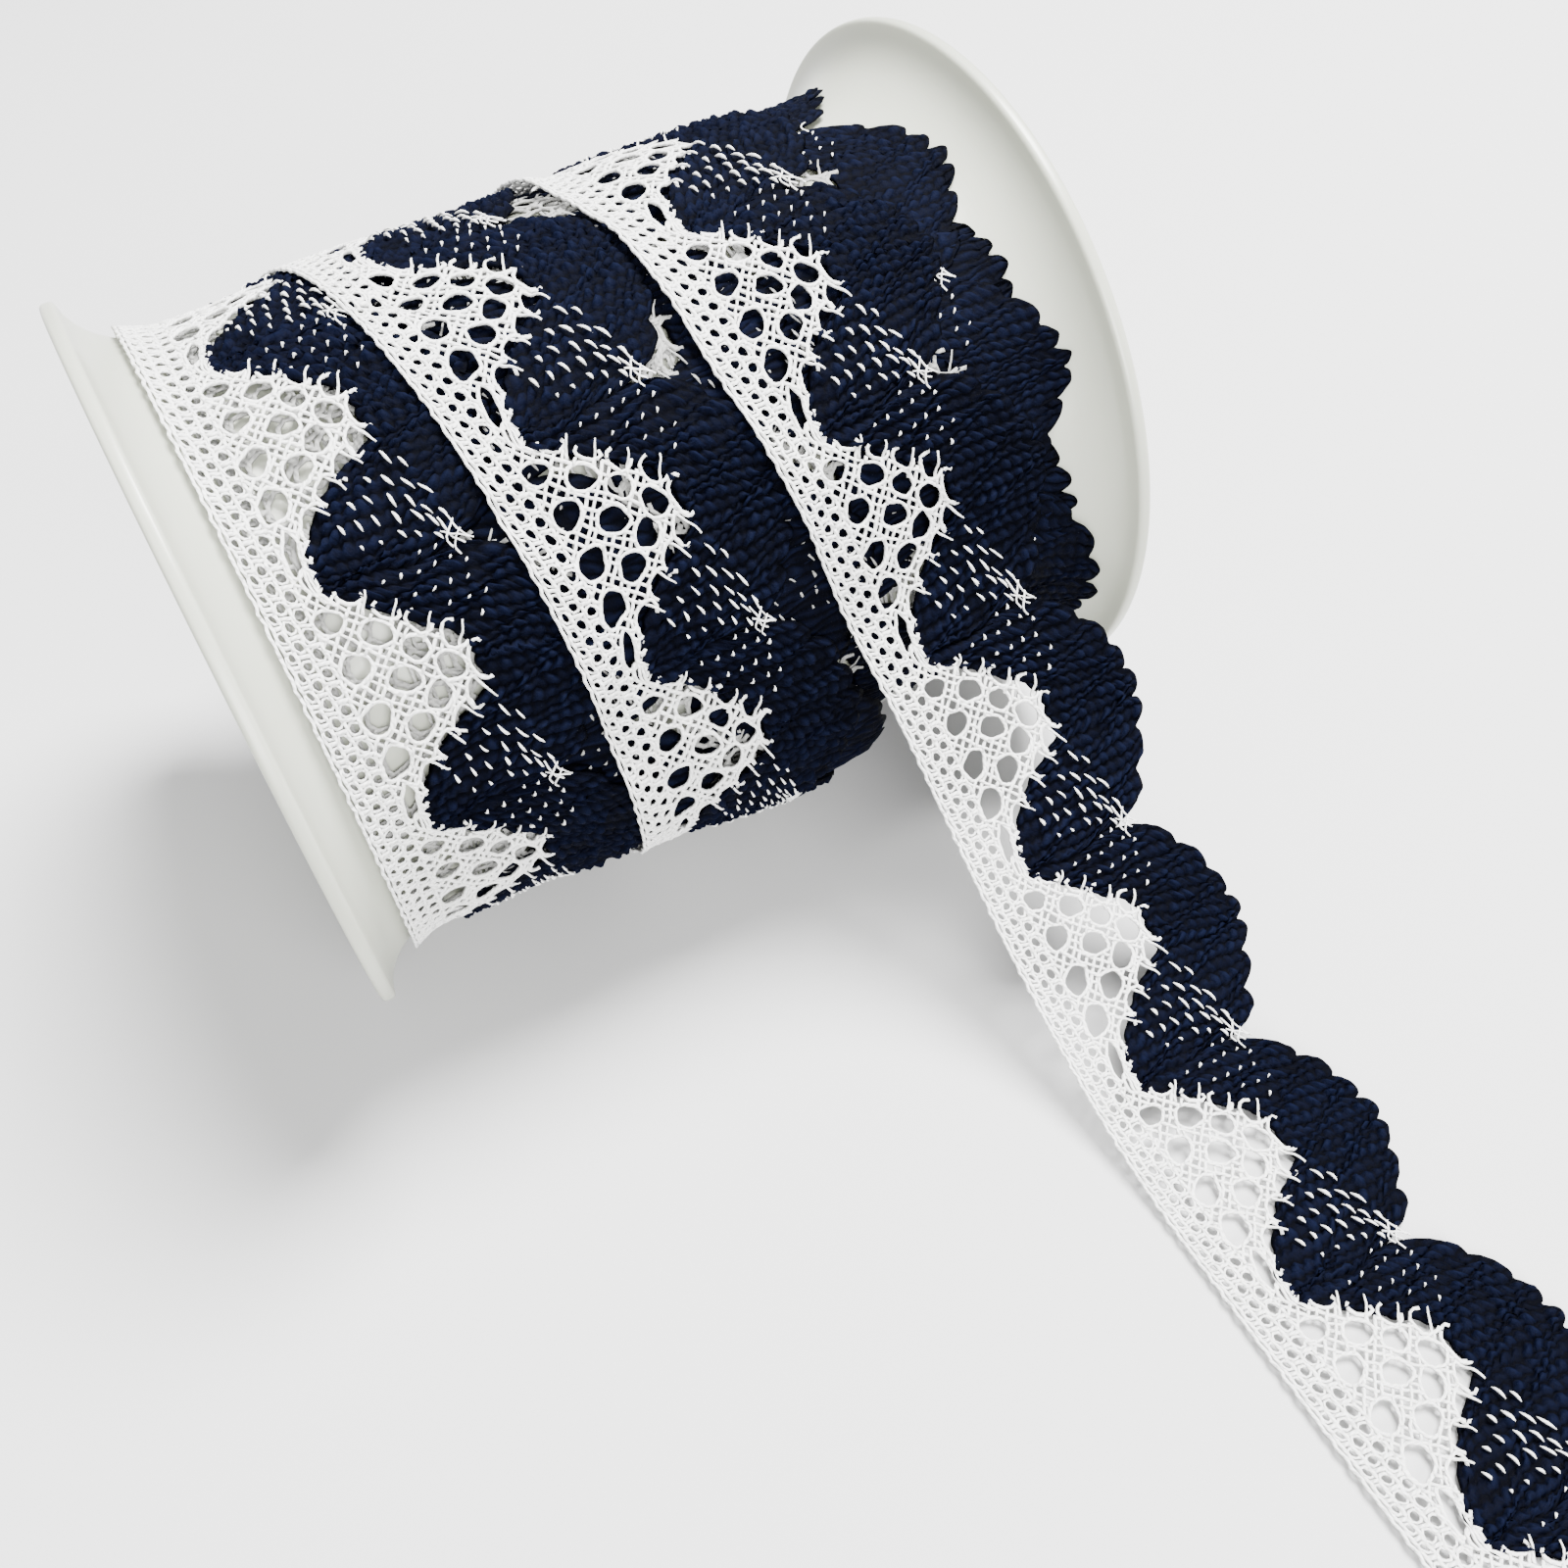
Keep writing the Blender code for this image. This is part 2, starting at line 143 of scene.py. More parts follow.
# The loose end seen from the side, and its straight edge's run, in millimetres.
FALL_LEAVES = 16.0 * MM
FALL_LANDS = 28.0 * MM
LANDS_AT = -87.7 * MM
ENDS_AT = END_LOW.y - AXIS_Y
LOOSE_EDGE = np.array([
    (0.0, 9.8), (11.0, 11.6), (22.0, 12.7), (44.0, 13.4), (66.0, 13.2), (100.0, 12.4), (140.0, 12.0),
]) * MM
SETTLES_IN = 18.0 * MM         # how soon the loose end comes up to its own curve

# The net's large holes in one repeat, charted: along, across, half length, half width
# in millimetres, and tilt in degrees.
HOLES = [
    (5.7, 4.95, 1.15, 0.95, 70), (7.8, 8.15, 1.3, 1.05, 62), (10.1, 10.55, 1.15, 0.95, 37),
    (12.8, 12.6, 1.35, 1.05, 20), (10.0, 5.35, 1.3, 1.15, -45), (12.3, 8.65, 1.35, 1.1, 60),
    (14.8, 10.7, 1.35, 1.05, -29), (14.7, 5.2, 1.45, 1.15, -35), (16.8, 8.25, 1.35, 1.15, -38),
    (19.1, 5.0, 1.6, 1.2, -32), (23.6, 4.75, 1.95, 0.62, -10), (2.0, 4.95, 1.0, 0.42, 4),
]
# The holes next to the navy work, open towards it.
OUTER_HOLES = [
    (4.15, 7.35, 1.0, 0.45, 59), (6.2, 9.7, 1.0, 0.5, 43), (8.1, 11.75, 1.05, 0.75, 26),
    (10.4, 14.0, 1.2, 0.95, 22), (13.4, 15.0, 1.7, 0.75, -3), (16.0, 13.8, 1.35, 0.9, -20),
    (17.7, 11.9, 1.35, 0.9, -30), (19.4, 9.7, 1.25, 0.85, -35), (21.5, 7.35, 1.5, 0.75, -37),
]
BAY_MIDDLE = (12.0, 5.0)       # the outer holes lie round this point
# The white teeth that the net sends onto the navy work: base and tip, (along, across) in millimetres.
TEETH = [
    (5.2, 8.2, 3.8, 9.0), (6.9, 10.0, 5.3, 11.0), (9.1, 12.0, 7.4, 13.1), (11.0, 14.2, 9.1, 15.2),
    (15.3, 14.2, 17.4, 15.2), (16.9, 12.3, 18.8, 13.4), (18.6, 10.2, 20.3, 11.2), (20.6, 8.0, 22.0, 9.2),
]
# Threads that gather along the tip of the navy work: (along, across) in millimetres.
TIP_THREADS = [
    [(-3.2, 6.1), (-1.6, 5.6), (-0.3, 5.3), (1.2, 5.0), (2.9, 4.9), (4.1, 5.5)],
    [(-2.2, 6.3), (-0.9, 6.0), (0.3, 5.2), (1.8, 5.2), (3.3, 5.2), (4.6, 6.3)],
]
FOOT_CORDS = (0.12, 0.5, 1.3, 2.45, 3.72)
# Rows of small holes in the footing: across, half length, half width, shift along, in millimetres.
FOOT_ROWS = [(3.08, 0.52, 0.42, 0.0), (1.88, 0.46, 0.36, 0.62), (0.92, 0.42, 0.22, 1.2)]
FOOT_HOLES = 14
WEB_LINES = 20                 # slanting threads of each direction that set out in one repeat
WEB_LINES_BELOW = 9
WEB_SLANT = 0.9                # their rise across for each millimetre along
# White floats on the navy work, charted: along, across, length in millimetres.
FLOATS = [
    (-5.6, 15.2, 1.4), (-4.7, 16.3, 1.5), (-4.3, 12.9, 1.2), (-3.9, 14.4, 1.4), (-2.9, 15.7, 1.5),
    (-1.9, 16.9, 1.6), (-2.8, 10.7, 1.0), (-2.7, 12.4, 1.2), (-2.2, 13.9, 1.3), (-1.3, 15.2, 1.5),
    (-0.2, 16.3, 1.5), (0.5, 17.2, 1.3), (-1.0, 12.2, 1.1), (-0.5, 13.7, 1.2), (0.1, 15.2, 1.4),
    (0.9, 16.2, 1.4), (1.8, 16.8, 1.2), (-1.1, 9.1, 1.0), (-0.9, 10.6, 1.0), (1.0, 13.4, 1.0),
    (1.5, 14.8, 1.1), (2.2, 16.1, 1.1), (0.8, 11.8, 0.7), (0.9, 10.2, 0.6),
]
DOTS = [
    (4.1, 10.4), (4.2, 11.9), (4.2, 13.4), (4.3, 14.9), (4.1, 16.3), (5.0, 17.4), (5.9, 12.5), (6.0, 14.0),
    (6.1, 15.4), (6.4, 16.9), (7.8, 14.6), (7.9, 16.2), (7.9, 17.7), (9.7, 16.5), (2.8, 15.6), (2.9, 14.2),
]
# Loose white thread drawn together at a valley: lines of (along, across, height) in millimetres.
VALLEY_THREADS = [
    [(0.2, 17.2, 1.1), (1.2, 17.4, 1.25), (2.2, 17.7, 1.1), (3.0, 18.2, 0.9), (3.6, 18.7, 0.8)],
    [(0.8, 16.6, 1.1), (1.9, 16.9, 1.25), (2.9, 17.1, 1.15), (3.7, 17.8, 1.0)],
    [(1.4, 17.7, 1.1), (2.2, 17.0, 1.3), (2.9, 16.5, 1.2), (3.6, 16.8, 1.1)],
    [(2.4, 18.0, 1.0), (3.0, 17.3, 1.3), (3.7, 16.9, 1.2), (4.4, 17.2, 1.0)],
    [(2.0, 16.4, 1.15), (2.8, 17.5, 1.3), (3.4, 18.5, 1.0)],
]

THREAD_RADIUS = 0.19 * MM
WEB_RADIUS = 0.185 * MM
NET_HEIGHT = 0.7 * MM
CLOTH_TOP = 1.15 * MM
YARN_ROWS = 24                 # rows of navy yarn in one repeat
STITCH = 1.15 * MM
ROW_RELIEF = 0.7 * MM
ROW_LEAD_INNER = 2.4 * MM      # how far a row's inner end runs ahead beside a valley
ROW_LEAD_OUTER = 0.9 * MM      # and its outer end round a scallop
INNER_BUMPS = 15               # small bumps of the inner edge in one repeat
BUMP_ROUNDNESS = 0.58
CLOTH_MIDDLE = 0.4 * MM        # height at which the upper and lower sides meet
CLOTH_UNDERSIDE = 0.06 * MM
WEB_STEP = 0.1 * MM            # between the points at which a slanting thread is tested
WEB_REACH = 15.0 * MM          # how far across it can run
WINDING_STEPS = 7000           # rows of the winding's table, the fall's and the table's
FALL_STEPS = 400
TABLE_STEPS = 60
EDGE_STEP = 0.25 * MM          # between the samples of the straight edge's run
EASE_SPAN = 39                 # samples over which that run is evened out

# The stage, in metres and degrees.
TABLE_REACH = 1.5
TABLE_DROP = 0.2 * MM
TABLE_CLOUDS = (0.48, 0.48, 0.48, 1.0)
LIGHTS_AIM = (0.0, 0.0, 0.03)
KEY_AT, KEY_SIZE, KEY_POWER = (0.30, 0.10, 0.76), 0.4, 46.0
FILL_AT, FILL_SIZE, FILL_POWER = (-0.05, -0.65, 0.4), 0.5, 17.0
CAMERA_AT = (-0.04004, -0.07499, 0.14647)
CAMERA_AZIMUTH = -24.19
CAMERA_ELEVATION = 50.58
CAMERA_ROLL = -7.07


def smooth_step(value):
    """0 below 0, 1 above 1, and 3 t^2 - 2 t^3 between."""
    t = np.clip(value, 0.0, 1.0)
    return t * t * (3.0 - 2.0 * t)


def smooth_through(table, column, where):
    """A smooth curve through a table's rows: cubic pieces whose slopes are the rows' own mean slopes."""
    knots, values = table[:, 0], table[:, column]
    slopes = np.gradient(values, knots)
    flat = np.diff(values) == 0
    slopes[:-1][flat] = 0.0
    slopes[1:][flat] = 0.0
    where = np.clip(where, knots[0], knots[-1])
    piece = np.clip(np.searchsorted(knots, where, side="right") - 1, 0, len(knots) - 2)
    span = knots[piece + 1] - knots[piece]
    t = (where - knots[piece]) / span
    start = values[piece] * (1 + 2 * t) * (1 - t) ** 2 + slopes[piece] * span * t * (1 - t) ** 2
    end = values[piece + 1] * t * t * (3 - 2 * t) + slopes[piece + 1] * span * t * t * (t - 1)
    return start + end


def scallop_width(along):
    """Distance from the straight edge to the scallops' smooth outline."""
    phase = np.mod((along - VALLEY) / REPEAT, 1.0)
    return np.interp(phase, OUTLINE[:, 0], OUTLINE[:, 1])


def inner_width(along):
    """Distance from the straight edge to where the navy work begins."""
    phase = np.mod(along / REPEAT - INNER_EDGE[0, 0], 1.0) + INNER_EDGE[0, 0]
    return np.interp(phase, INNER_EDGE[:, 0], INNER_EDGE[:, 1])


def length_at(angle):
    """Length along the lace at an angle of the winding: arc length less slack, and a table below."""
    top = np.radians(angle - THIRD_TURN) * WOUND_RADIUS - SLIT_AT_TOP - smooth_through(SLACK, 1, angle)
    below = np.interp(angle, SLITS_BELOW[:, 0], SLITS_BELOW[:, 1]) * REPEAT
    return np.where(angle < TOP_STARTS_AT, below, top)


def flare_radius(x):
    """Outer radius of the reel's tube and flare: a quarter of an ellipse out to the rim."""
    reach = REEL_HALF - RIM_THICKNESS - FLARE_START
    part = np.clip((np.abs(x) - FLARE_START) / reach, 0.0, 1.0)
    return RIM_RADIUS - (RIM_RADIUS - BARREL_RADIUS) * np.sqrt(1.0 - part ** 2)


def fall_curve():
    """The loose end from the side, (y, z) from the reel's axis: a cubic Bezier, then the table."""
    turn = math.radians(LEAVES_AT - THIRD_TURN)
    start = np.array([-math.sin(turn), math.cos(turn)]) * LOOSE_RADIUS
    leaves = start + FALL_LEAVES * np.array([-math.cos(turn), -math.sin(turn)])
    lands = np.array([LANDS_AT, -AXIS_Z])
    before = lands + np.array([FALL_LANDS, 0.0])
    t = np.linspace(0.0, 1.0, FALL_STEPS)[:, None]
    curve = (start * (1 - t) ** 3 + leaves * 3 * t * (1 - t) ** 2
             + before * 3 * t * t * (1 - t) + lands * t ** 3)
    table = np.linspace(LANDS_AT, ENDS_AT * 1.1, TABLE_STEPS)[1:]
    return np.concatenate([curve, np.stack([table, np.full(table.shape, -AXIS_Z)], -1)])


ROLL_ANGLES = np.linspace(STARTS_AT, LEAVES_AT, WINDING_STEPS)
ROLL_LENGTHS = length_at(ROLL_ANGLES)
LEAVES_LENGTH = ROLL_LENGTHS[-1]
FALL = fall_curve()
FALL_LENGTHS = np.concatenate([[0.0], np.cumsum(np.linalg.norm(np.diff(FALL, axis=0), axis=1))])
FALL_SLOPE = np.stack([
    np.gradient(FALL[:, 0], FALL_LENGTHS), np.gradient(FALL[:, 1], FALL_LENGTHS),
], -1)
LENGTHS = np.arange(ROLL_LENGTHS[0], LEAVES_LENGTH + FALL_LENGTHS[-1], EDGE_STEP)
EDGES = np.interp(
    LENGTHS,
    np.concatenate([ROLL_LENGTHS, LEAVES_LENGTH + FALL_LENGTHS[1:]]),
    np.concatenate([
        smooth_through(LAY, 1, ROLL_ANGLES), smooth_through(LOOSE_EDGE, 1, FALL_LENGTHS[1:]),
    ]),
)
EASE = np.hanning(EASE_SPAN + 2)[1:-1] / np.hanning(EASE_SPAN + 2).sum()
EDGES = np.convolve(np.pad(EDGES, EASE_SPAN // 2, mode="edge"), EASE, mode="valid")
EDGE_SLOPES = np.gradient(EDGES, LENGTHS)
LACE_END = LEAVES_LENGTH + float(np.interp(-ENDS_AT, -FALL[:, 0], FALL_LENGTHS))


def laid_on(angle, x):
    """Radius of what a turn lies on.

    That is the reel's, plus a rise for each earlier turn as far as this one overlaps it. Low on the
    front the last layers stand out further, by the sag at x.
    """
    top = smooth_step((angle - TOP_STARTS_AT) / TOP_EASE)
    radius = np.maximum(UNDER_BASE + (TOP_BASE - UNDER_BASE) * top, flare_radius(x) + FLARE_GAP)
    for turns_back in range(1, TURNS_BACK + 1):
        there = angle - 360.0 * turns_back
        exists = smooth_step((there - STARTS_AT) / START_EASE)
        later = smooth_step((there - TOP_STARTS_AT) / TOP_EASE)
        rise = UNDER_RISE + (TOP_RISE - UNDER_RISE) * later
        left = smooth_through(LAY, 1, there)
        right = left + scallop_width(length_at(there))
        inside = smooth_step((x - left) / LAP_FADE + 1.0) * smooth_step((right - x) / LAP_FADE + 0.9)
        radius = radius + rise * inside * exists
    front = np.mod(angle, 360.0)
    hangs = smooth_step((front - SAG_IN) / SAG_IN_EASE)
    hangs = hangs * (1.0 - smooth_step((front - SAG_OUT) / SAG_OUT_EASE))
    sag = np.interp(x, SAG[:, 0], SAG[:, 1]) * (angle > SAG_TURNS_FROM) * (angle < LEAVES_AT)
    return radius + sag * hangs


def place(along, across, height):
    """World place of a point of the flat lace.

    The point stands off the straight edge at a right angle to it, so its own turn of the roll is the
    one at along - across * lean. On the roll its radius is what the turn lies on plus its height; past
    the roll it stands on the fall curve, along the curve's normal.
    """
    lean = np.interp(along, LENGTHS, EDGE_SLOPES)
    stretch = np.sqrt(1.0 + lean * lean)
    x = np.interp(along, LENGTHS, EDGES) + across / stretch
    back = along - across * lean / stretch
    angle = np.interp(back, ROLL_LENGTHS, ROLL_ANGLES)
    base = laid_on(angle, x)
    top = smooth_step((angle - TOP_STARTS_AT) / SQUASH_EASE)
    squash = UNDER_SQUASH + (1.0 - UNDER_SQUASH) * top
    radius = base + height * squash
    turn = np.radians(angle)
    past = np.maximum(back - LEAVES_LENGTH, 0.0)
    settle = (base - LOOSE_RADIUS) * (1.0 - smooth_step(past / SETTLES_IN))
    over = height + settle
    fall_y, fall_z = (np.interp(past, FALL_LENGTHS, column) for column in FALL.T)
    slope_y, slope_z = (np.interp(past, FALL_LENGTHS, column) for column in FALL_SLOPE.T)
    wound = back < LEAVES_LENGTH
    y = np.where(wound, -radius * np.sin(turn), fall_y + over * slope_z)
    z = np.where(wound, radius * np.cos(turn), fall_z - over * slope_y)
    return np.stack([x, AXIS_Y + y, AXIS_Z + z], -1)


def uneven(points):
    """Hand-made unevenness: each point moves along and across by sums of sine waves, in millimetres."""
    along, across, height = points.T
    u, v = along / MM, across / MM
    shift = 0.16 * np.sin(u / 7.3 + v / 3.1) + 0.14 * np.sin(u / 17.9 - v / 5.3 + 1.1)
    shift = shift + 0.05 * np.sin(u * 2.3 + v * 3.7) + 0.04 * np.sin(u * 3.1 - v * 2.1)
    side = 0.15 * np.sin(u / 9.7 + 0.7) + 0.12 * np.sin(u / 23.0 + v / 4.1)
    side = side * smooth_step(v / 3.0) + 0.05 * np.sin(u * 2.9 - v * 1.7 + 0.4)
    return np.stack([along + shift * MM, across + side * MM, height], -1)


def scattered(first, second):
    """A repeatable scatter of numbers between 0 and 1, one for each pair of whole numbers."""
    value = np.sin(first * 12.9898 + second * 78.233) * 43758.5453
    return value - np.floor(value)


class Flat:
    """Part of the lace laid flat: points (along, across, height), quads, and each corner's yarn map."""

    def __init__(self, points, quads, yarn, threads=None):
        self.points = points
        self.quads = quads
        self.yarn = yarn
        self.threads = np.zeros(len(points), int) if threads is None else threads

    @staticmethod
    def joined(parts):
        """Several parts as one, which keeps the number of the part that each point came from."""
        offsets = np.cumsum([0] + [len(part.points) for part in parts[:-1]])
        return Flat(
            np.concatenate([part.points for part in parts]),
            np.concatenate([part.quads + offset for part, offset in zip(parts, offsets)]),
            np.concatenate([part.yarn for part in parts]),
            np.concatenate([np.full(len(part.points), number) for number, part in enumerate(parts)]),
        )

    def repeated(self, first, last):
        """The part once in each repeat from valley first to valley last, cut there between threads."""
        shifts = np.arange(first - 1, last + 1) * REPEAT
        points = np.tile(self.points, (len(shifts), 1, 1))
        points[..., 0] += shifts[:, None]
        quads = self.quads[None] + (np.arange(len(shifts)) * len(self.points))[:, None, None]
        yarn = np.tile(self.yarn, (len(shifts), 1, 1, 1))
        yarn[..., 0] += shifts[:, None, None]
        count = self.threads.max() + 1
        threads = (self.threads[None] + (np.arange(len(shifts)) * count)[:, None]).ravel()
        points, quads, yarn = points.reshape(-1, 3), quads.reshape(-1, 4), yarn.reshape(-1, 4, 2)
        middle = np.bincount(threads, points[:, 0]) / np.bincount(threads)
        keep = (middle >= first * REPEAT + VALLEY) & (middle < last * REPEAT + VALLEY)
        kept_points = keep[threads]
        kept_quads = kept_points[quads[:, 0]]
        renumbered = np.cumsum(kept_points) - 1
        return Flat(points[kept_points], renumbered[quads[kept_quads]], yarn[kept_quads])


def evenly(points, step):
    """Points at equal steps on the smooth curve through a line's own points."""
    points = np.array(points, float)
    chord = np.concatenate([[0.0], np.cumsum(np.linalg.norm(np.diff(points, axis=0), axis=1))])
    count = max(3, int(math.ceil(chord[-1] / step)) + 1)
    where = np.linspace(0.0, chord[-1], count)
    table = np.column_stack([chord, points])
    return np.stack([smooth_through(table, column, where) for column in (1, 2, 3)], -1)


def ring_quads(rings, around, closed):
    """Each quad's ring and point, and the quads from each ring of points to the next.

    Where they are closed, the last ring is joined to the first.
    """
    joined = np.arange(rings if closed else rings - 1)
    ring, point = np.meshgrid(joined, np.arange(around), indexing="ij")
    after, beside = (ring + 1) % rings, (point + 1) % around
    quads = np.stack([ring * around + point, ring * around + beside,
                      after * around + beside, after * around + point], -1).reshape(-1, 4)
    return ring, point, quads


def tube(line, radius, sides=4, closed=False):
    """A round thread on a line: at each point a ring of radius r, centre + r (side cos a + up sin a)."""
    if closed:
        run = np.roll(line, -1, axis=0) - np.roll(line, 1, axis=0)
    else:
        run = np.gradient(line, axis=0)
    run = run[:, :2] / (np.linalg.norm(run[:, :2], axis=1)[:, None] + 1e-12)
    side = np.stack([-run[:, 1], run[:, 0], np.zeros(len(run))], -1)
    up = np.array([0.0, 0.0, 1.0])
    turn = np.arange(sides) * 2 * math.pi / sides + math.pi / sides
    radius = np.broadcast_to(radius, (len(line),))
    ring = side[:, None] * np.cos(turn)[:, None] + up * np.sin(turn)[:, None]
    points = line[:, None] + ring * radius[:, None, None]
    count = len(line)
    row, column, quads = ring_quads(count, sides, closed)
    length = np.concatenate([[0.0], np.cumsum(np.linalg.norm(np.diff(line, axis=0), axis=1))])
    low, high = column / sides, (column + 1) / sides
    here = length[row]
    there = here + length[1]
    yarn = np.stack([np.stack([here, low], -1), np.stack([here, high], -1),
                     np.stack([there, high], -1), np.stack([there, low], -1)], -2).reshape(-1, 4, 2)
    if closed:
        return Flat(points.reshape(-1, 3), quads, yarn)
    caps = np.array([np.arange(sides)[::-1], np.arange(sides) + (count - 1) * sides])
    quads, yarn = np.concatenate([quads, caps]), np.concatenate([yarn, np.zeros((2, 4, 2))])
    return Flat(points.reshape(-1, 3), quads, yarn)


def loop(along, across, half_length, half_width, tilt, radius, step, number, opening=None):
    """A ring of thread round a hole, an oval whose reach swells and shrinks a little.

    With an opening, an angle, the ring is left open on the side that faces that way.
    """
    count = max(8, int(round(2 * math.pi * math.sqrt((half_length ** 2 + half_width ** 2) / 2) / step)))
    slant = math.radians(tilt)
    turn = np.arange(count) * 2 * math.pi / count
    if opening is not None:
        turn = opening - slant + np.linspace(0.32, 1.68, max(6, int(0.7 * count))) * math.pi
    reach = 1.0 + 0.05 * np.sin(3 * turn + number * 1.7) + 0.03 * np.sin(5 * turn + number * 2.9)
    major = (half_length + 0.8 * radius) * reach * np.cos(turn)
    minor = (half_width + 0.8 * radius) * reach * np.sin(turn)
    line = np.stack([
        along + major * math.cos(slant) - minor * math.sin(slant),
        across + major * math.sin(slant) + minor * math.cos(slant),
        NET_HEIGHT + 0.05 * MM * np.sin(2 * turn + number),
    ], -1)
    return tube(line, radius, closed=opening is None)


def in_metres(holes):
    """Rows of four millimetres and one angle, with the millimetres made metres."""
    return np.array(holes) * (MM, MM, MM, MM, 1.0)


def open_web(along, across):
    """Where the slanting threads run: past the footing, short of the navy work, and outside the holes."""
    inner = inner_width(along)
    limit = inner + 0.45 * MM - 0.95 * MM * smooth_step((inner - 7.2 * MM) / (2.0 * MM))
    free = (across > FOOT_CORDS[-1] * MM - 0.1 * MM) & (across < limit)
    for hole_along, hole_across, half_length, half_width, tilt in in_metres(HOLES + OUTER_HOLES):
        slant = math.radians(tilt)
        aside = np.mod(along - hole_along + REPEAT / 2, REPEAT) - REPEAT / 2
        over = across - hole_across
        major = (aside * math.cos(slant) + over * math.sin(slant)) / (half_length + 0.1 * MM)
        minor = (over * math.cos(slant) - aside * math.sin(slant)) / (half_width + 0.1 * MM)
        free &= major ** 2 + minor ** 2 > 1.0
    return free


def web(step, lines, radius):
    """Slanting threads of both directions, wavy, cut off wherever they are not in the open web."""
    parts = []
    reach = np.arange(0.0, WEB_REACH, WEB_STEP)
    every = max(1, int(round(step / WEB_STEP)))
    for direction in (1, -1):
        for number in range(lines):
            start = (number + 0.1 + 0.35 * scattered(number, direction)) * REPEAT / lines
            across = FOOT_CORDS[-1] * MM + reach
            along = start + direction * reach / WEB_SLANT
            along = along + 0.11 * MM * np.sin(reach / (0.55 * MM) + number * 1.9)
            height = NET_HEIGHT + direction * 0.09 * MM * np.cos(reach / (0.29 * MM))
            line = np.stack([along, across, height], -1)
            free = np.concatenate([[False], open_web(along, across), [False]])
            switches = np.flatnonzero(free[1:] != free[:-1])
            for begins, ends in zip(switches[::2], switches[1::2]):
                piece = line[begins:ends]
                if len(piece) > 4:
                    count = max(2, len(piece) // every + 1)
                    picked = np.linspace(0, len(piece) - 1, count).round().astype(int)
                    parts.append(tube(piece[picked], radius))
    return parts


def footing(fine):
    """The footing's cords, short pieces of them, with rows of small holes and rungs between."""
    parts = []
    for number, across in enumerate(FOOT_CORDS):
        for piece in range(BUMPS):
            along = np.linspace(piece, piece + 1, 7 if fine else 2) * REPEAT / BUMPS
            wave = along * 2 * math.pi * FOOT_HOLES / REPEAT + number * 2.2
            aside, height = 0.07 * MM * np.sin(wave), NET_HEIGHT + 0.06 * MM * np.cos(wave)
            line = np.stack([along, across * MM + aside, height], -1)
            parts.append(tube(line, THREAD_RADIUS * (1.0 if number < 2 else 1.1)))
    pitch = REPEAT / FOOT_HOLES
    for row, (across, half_length, half_width, offset) in enumerate(FOOT_ROWS):
        for number in range(FOOT_HOLES):
            along = (number + 0.5) * pitch + offset * MM
            if fine:
                parts.append(loop(along, across * MM, half_length * MM, half_width * MM, 20.0,
                                  THREAD_RADIUS * 0.8, 0.36 * MM, number * 3 + row))
            if fine or row < 2:
                between = along + pitch / 2
                rung = [(between - 0.1 * MM, (across - half_width - 0.15) * MM, NET_HEIGHT),
                        (between + 0.1 * MM, (across + half_width + 0.15) * MM, NET_HEIGHT)]
                parts.append(tube(np.array(rung), THREAD_RADIUS * (1.2 if fine else 1.8)))
    return parts


def net_repeat(fine=True):
    """One repeat of the white net: footing, rings round the holes, web, teeth and tip threads."""
    parts = footing(fine)
    radius = THREAD_RADIUS * (1.1 if fine else 1.5)
    for number, hole in enumerate(in_metres(HOLES)):
        parts.append(loop(*hole, radius, (0.42 if fine else 1.2) * MM, number))
    for number, hole in enumerate(in_metres(OUTER_HOLES)):
        opening = math.atan2(hole[1] - BAY_MIDDLE[1] * MM, hole[0] - BAY_MIDDLE[0] * MM)
        parts.append(loop(*hole, radius, (0.42 if fine else 1.2) * MM, number, opening))
    if fine:
        parts += web(0.4 * MM, WEB_LINES, WEB_RADIUS)
    else:
        parts += web(3.0 * MM, WEB_LINES_BELOW, 1.7 * WEB_RADIUS)
    step = (0.4 if fine else 1.2) * MM
    for base_along, base_across, tip_along, tip_across in TEETH:
        base, tip = np.array([base_along, base_across, 0.7]), np.array([tip_along, tip_across, 1.15])
        root = base * 1.5 - tip * 0.5
        root[2] = 0.65
        tip = base * 0.2 + tip * 0.8
        line = evenly(np.array([root, base, base * 0.6 + tip * 0.4 + (0, 0, 0.3), base * 0.3 + tip * 0.7
                                + (0, 0, 0.3), tip + (0, 0, 0.05)]) * MM, step)
        parts.append(tube(line, THREAD_RADIUS * np.linspace(1.0, 0.5, len(line))))
    for thread in TIP_THREADS:
        line = evenly([(along * MM, across * MM, 0.75 * MM) for along, across in thread], step)
        parts.append(tube(line, THREAD_RADIUS * 0.85))
    return Flat.joined(parts)


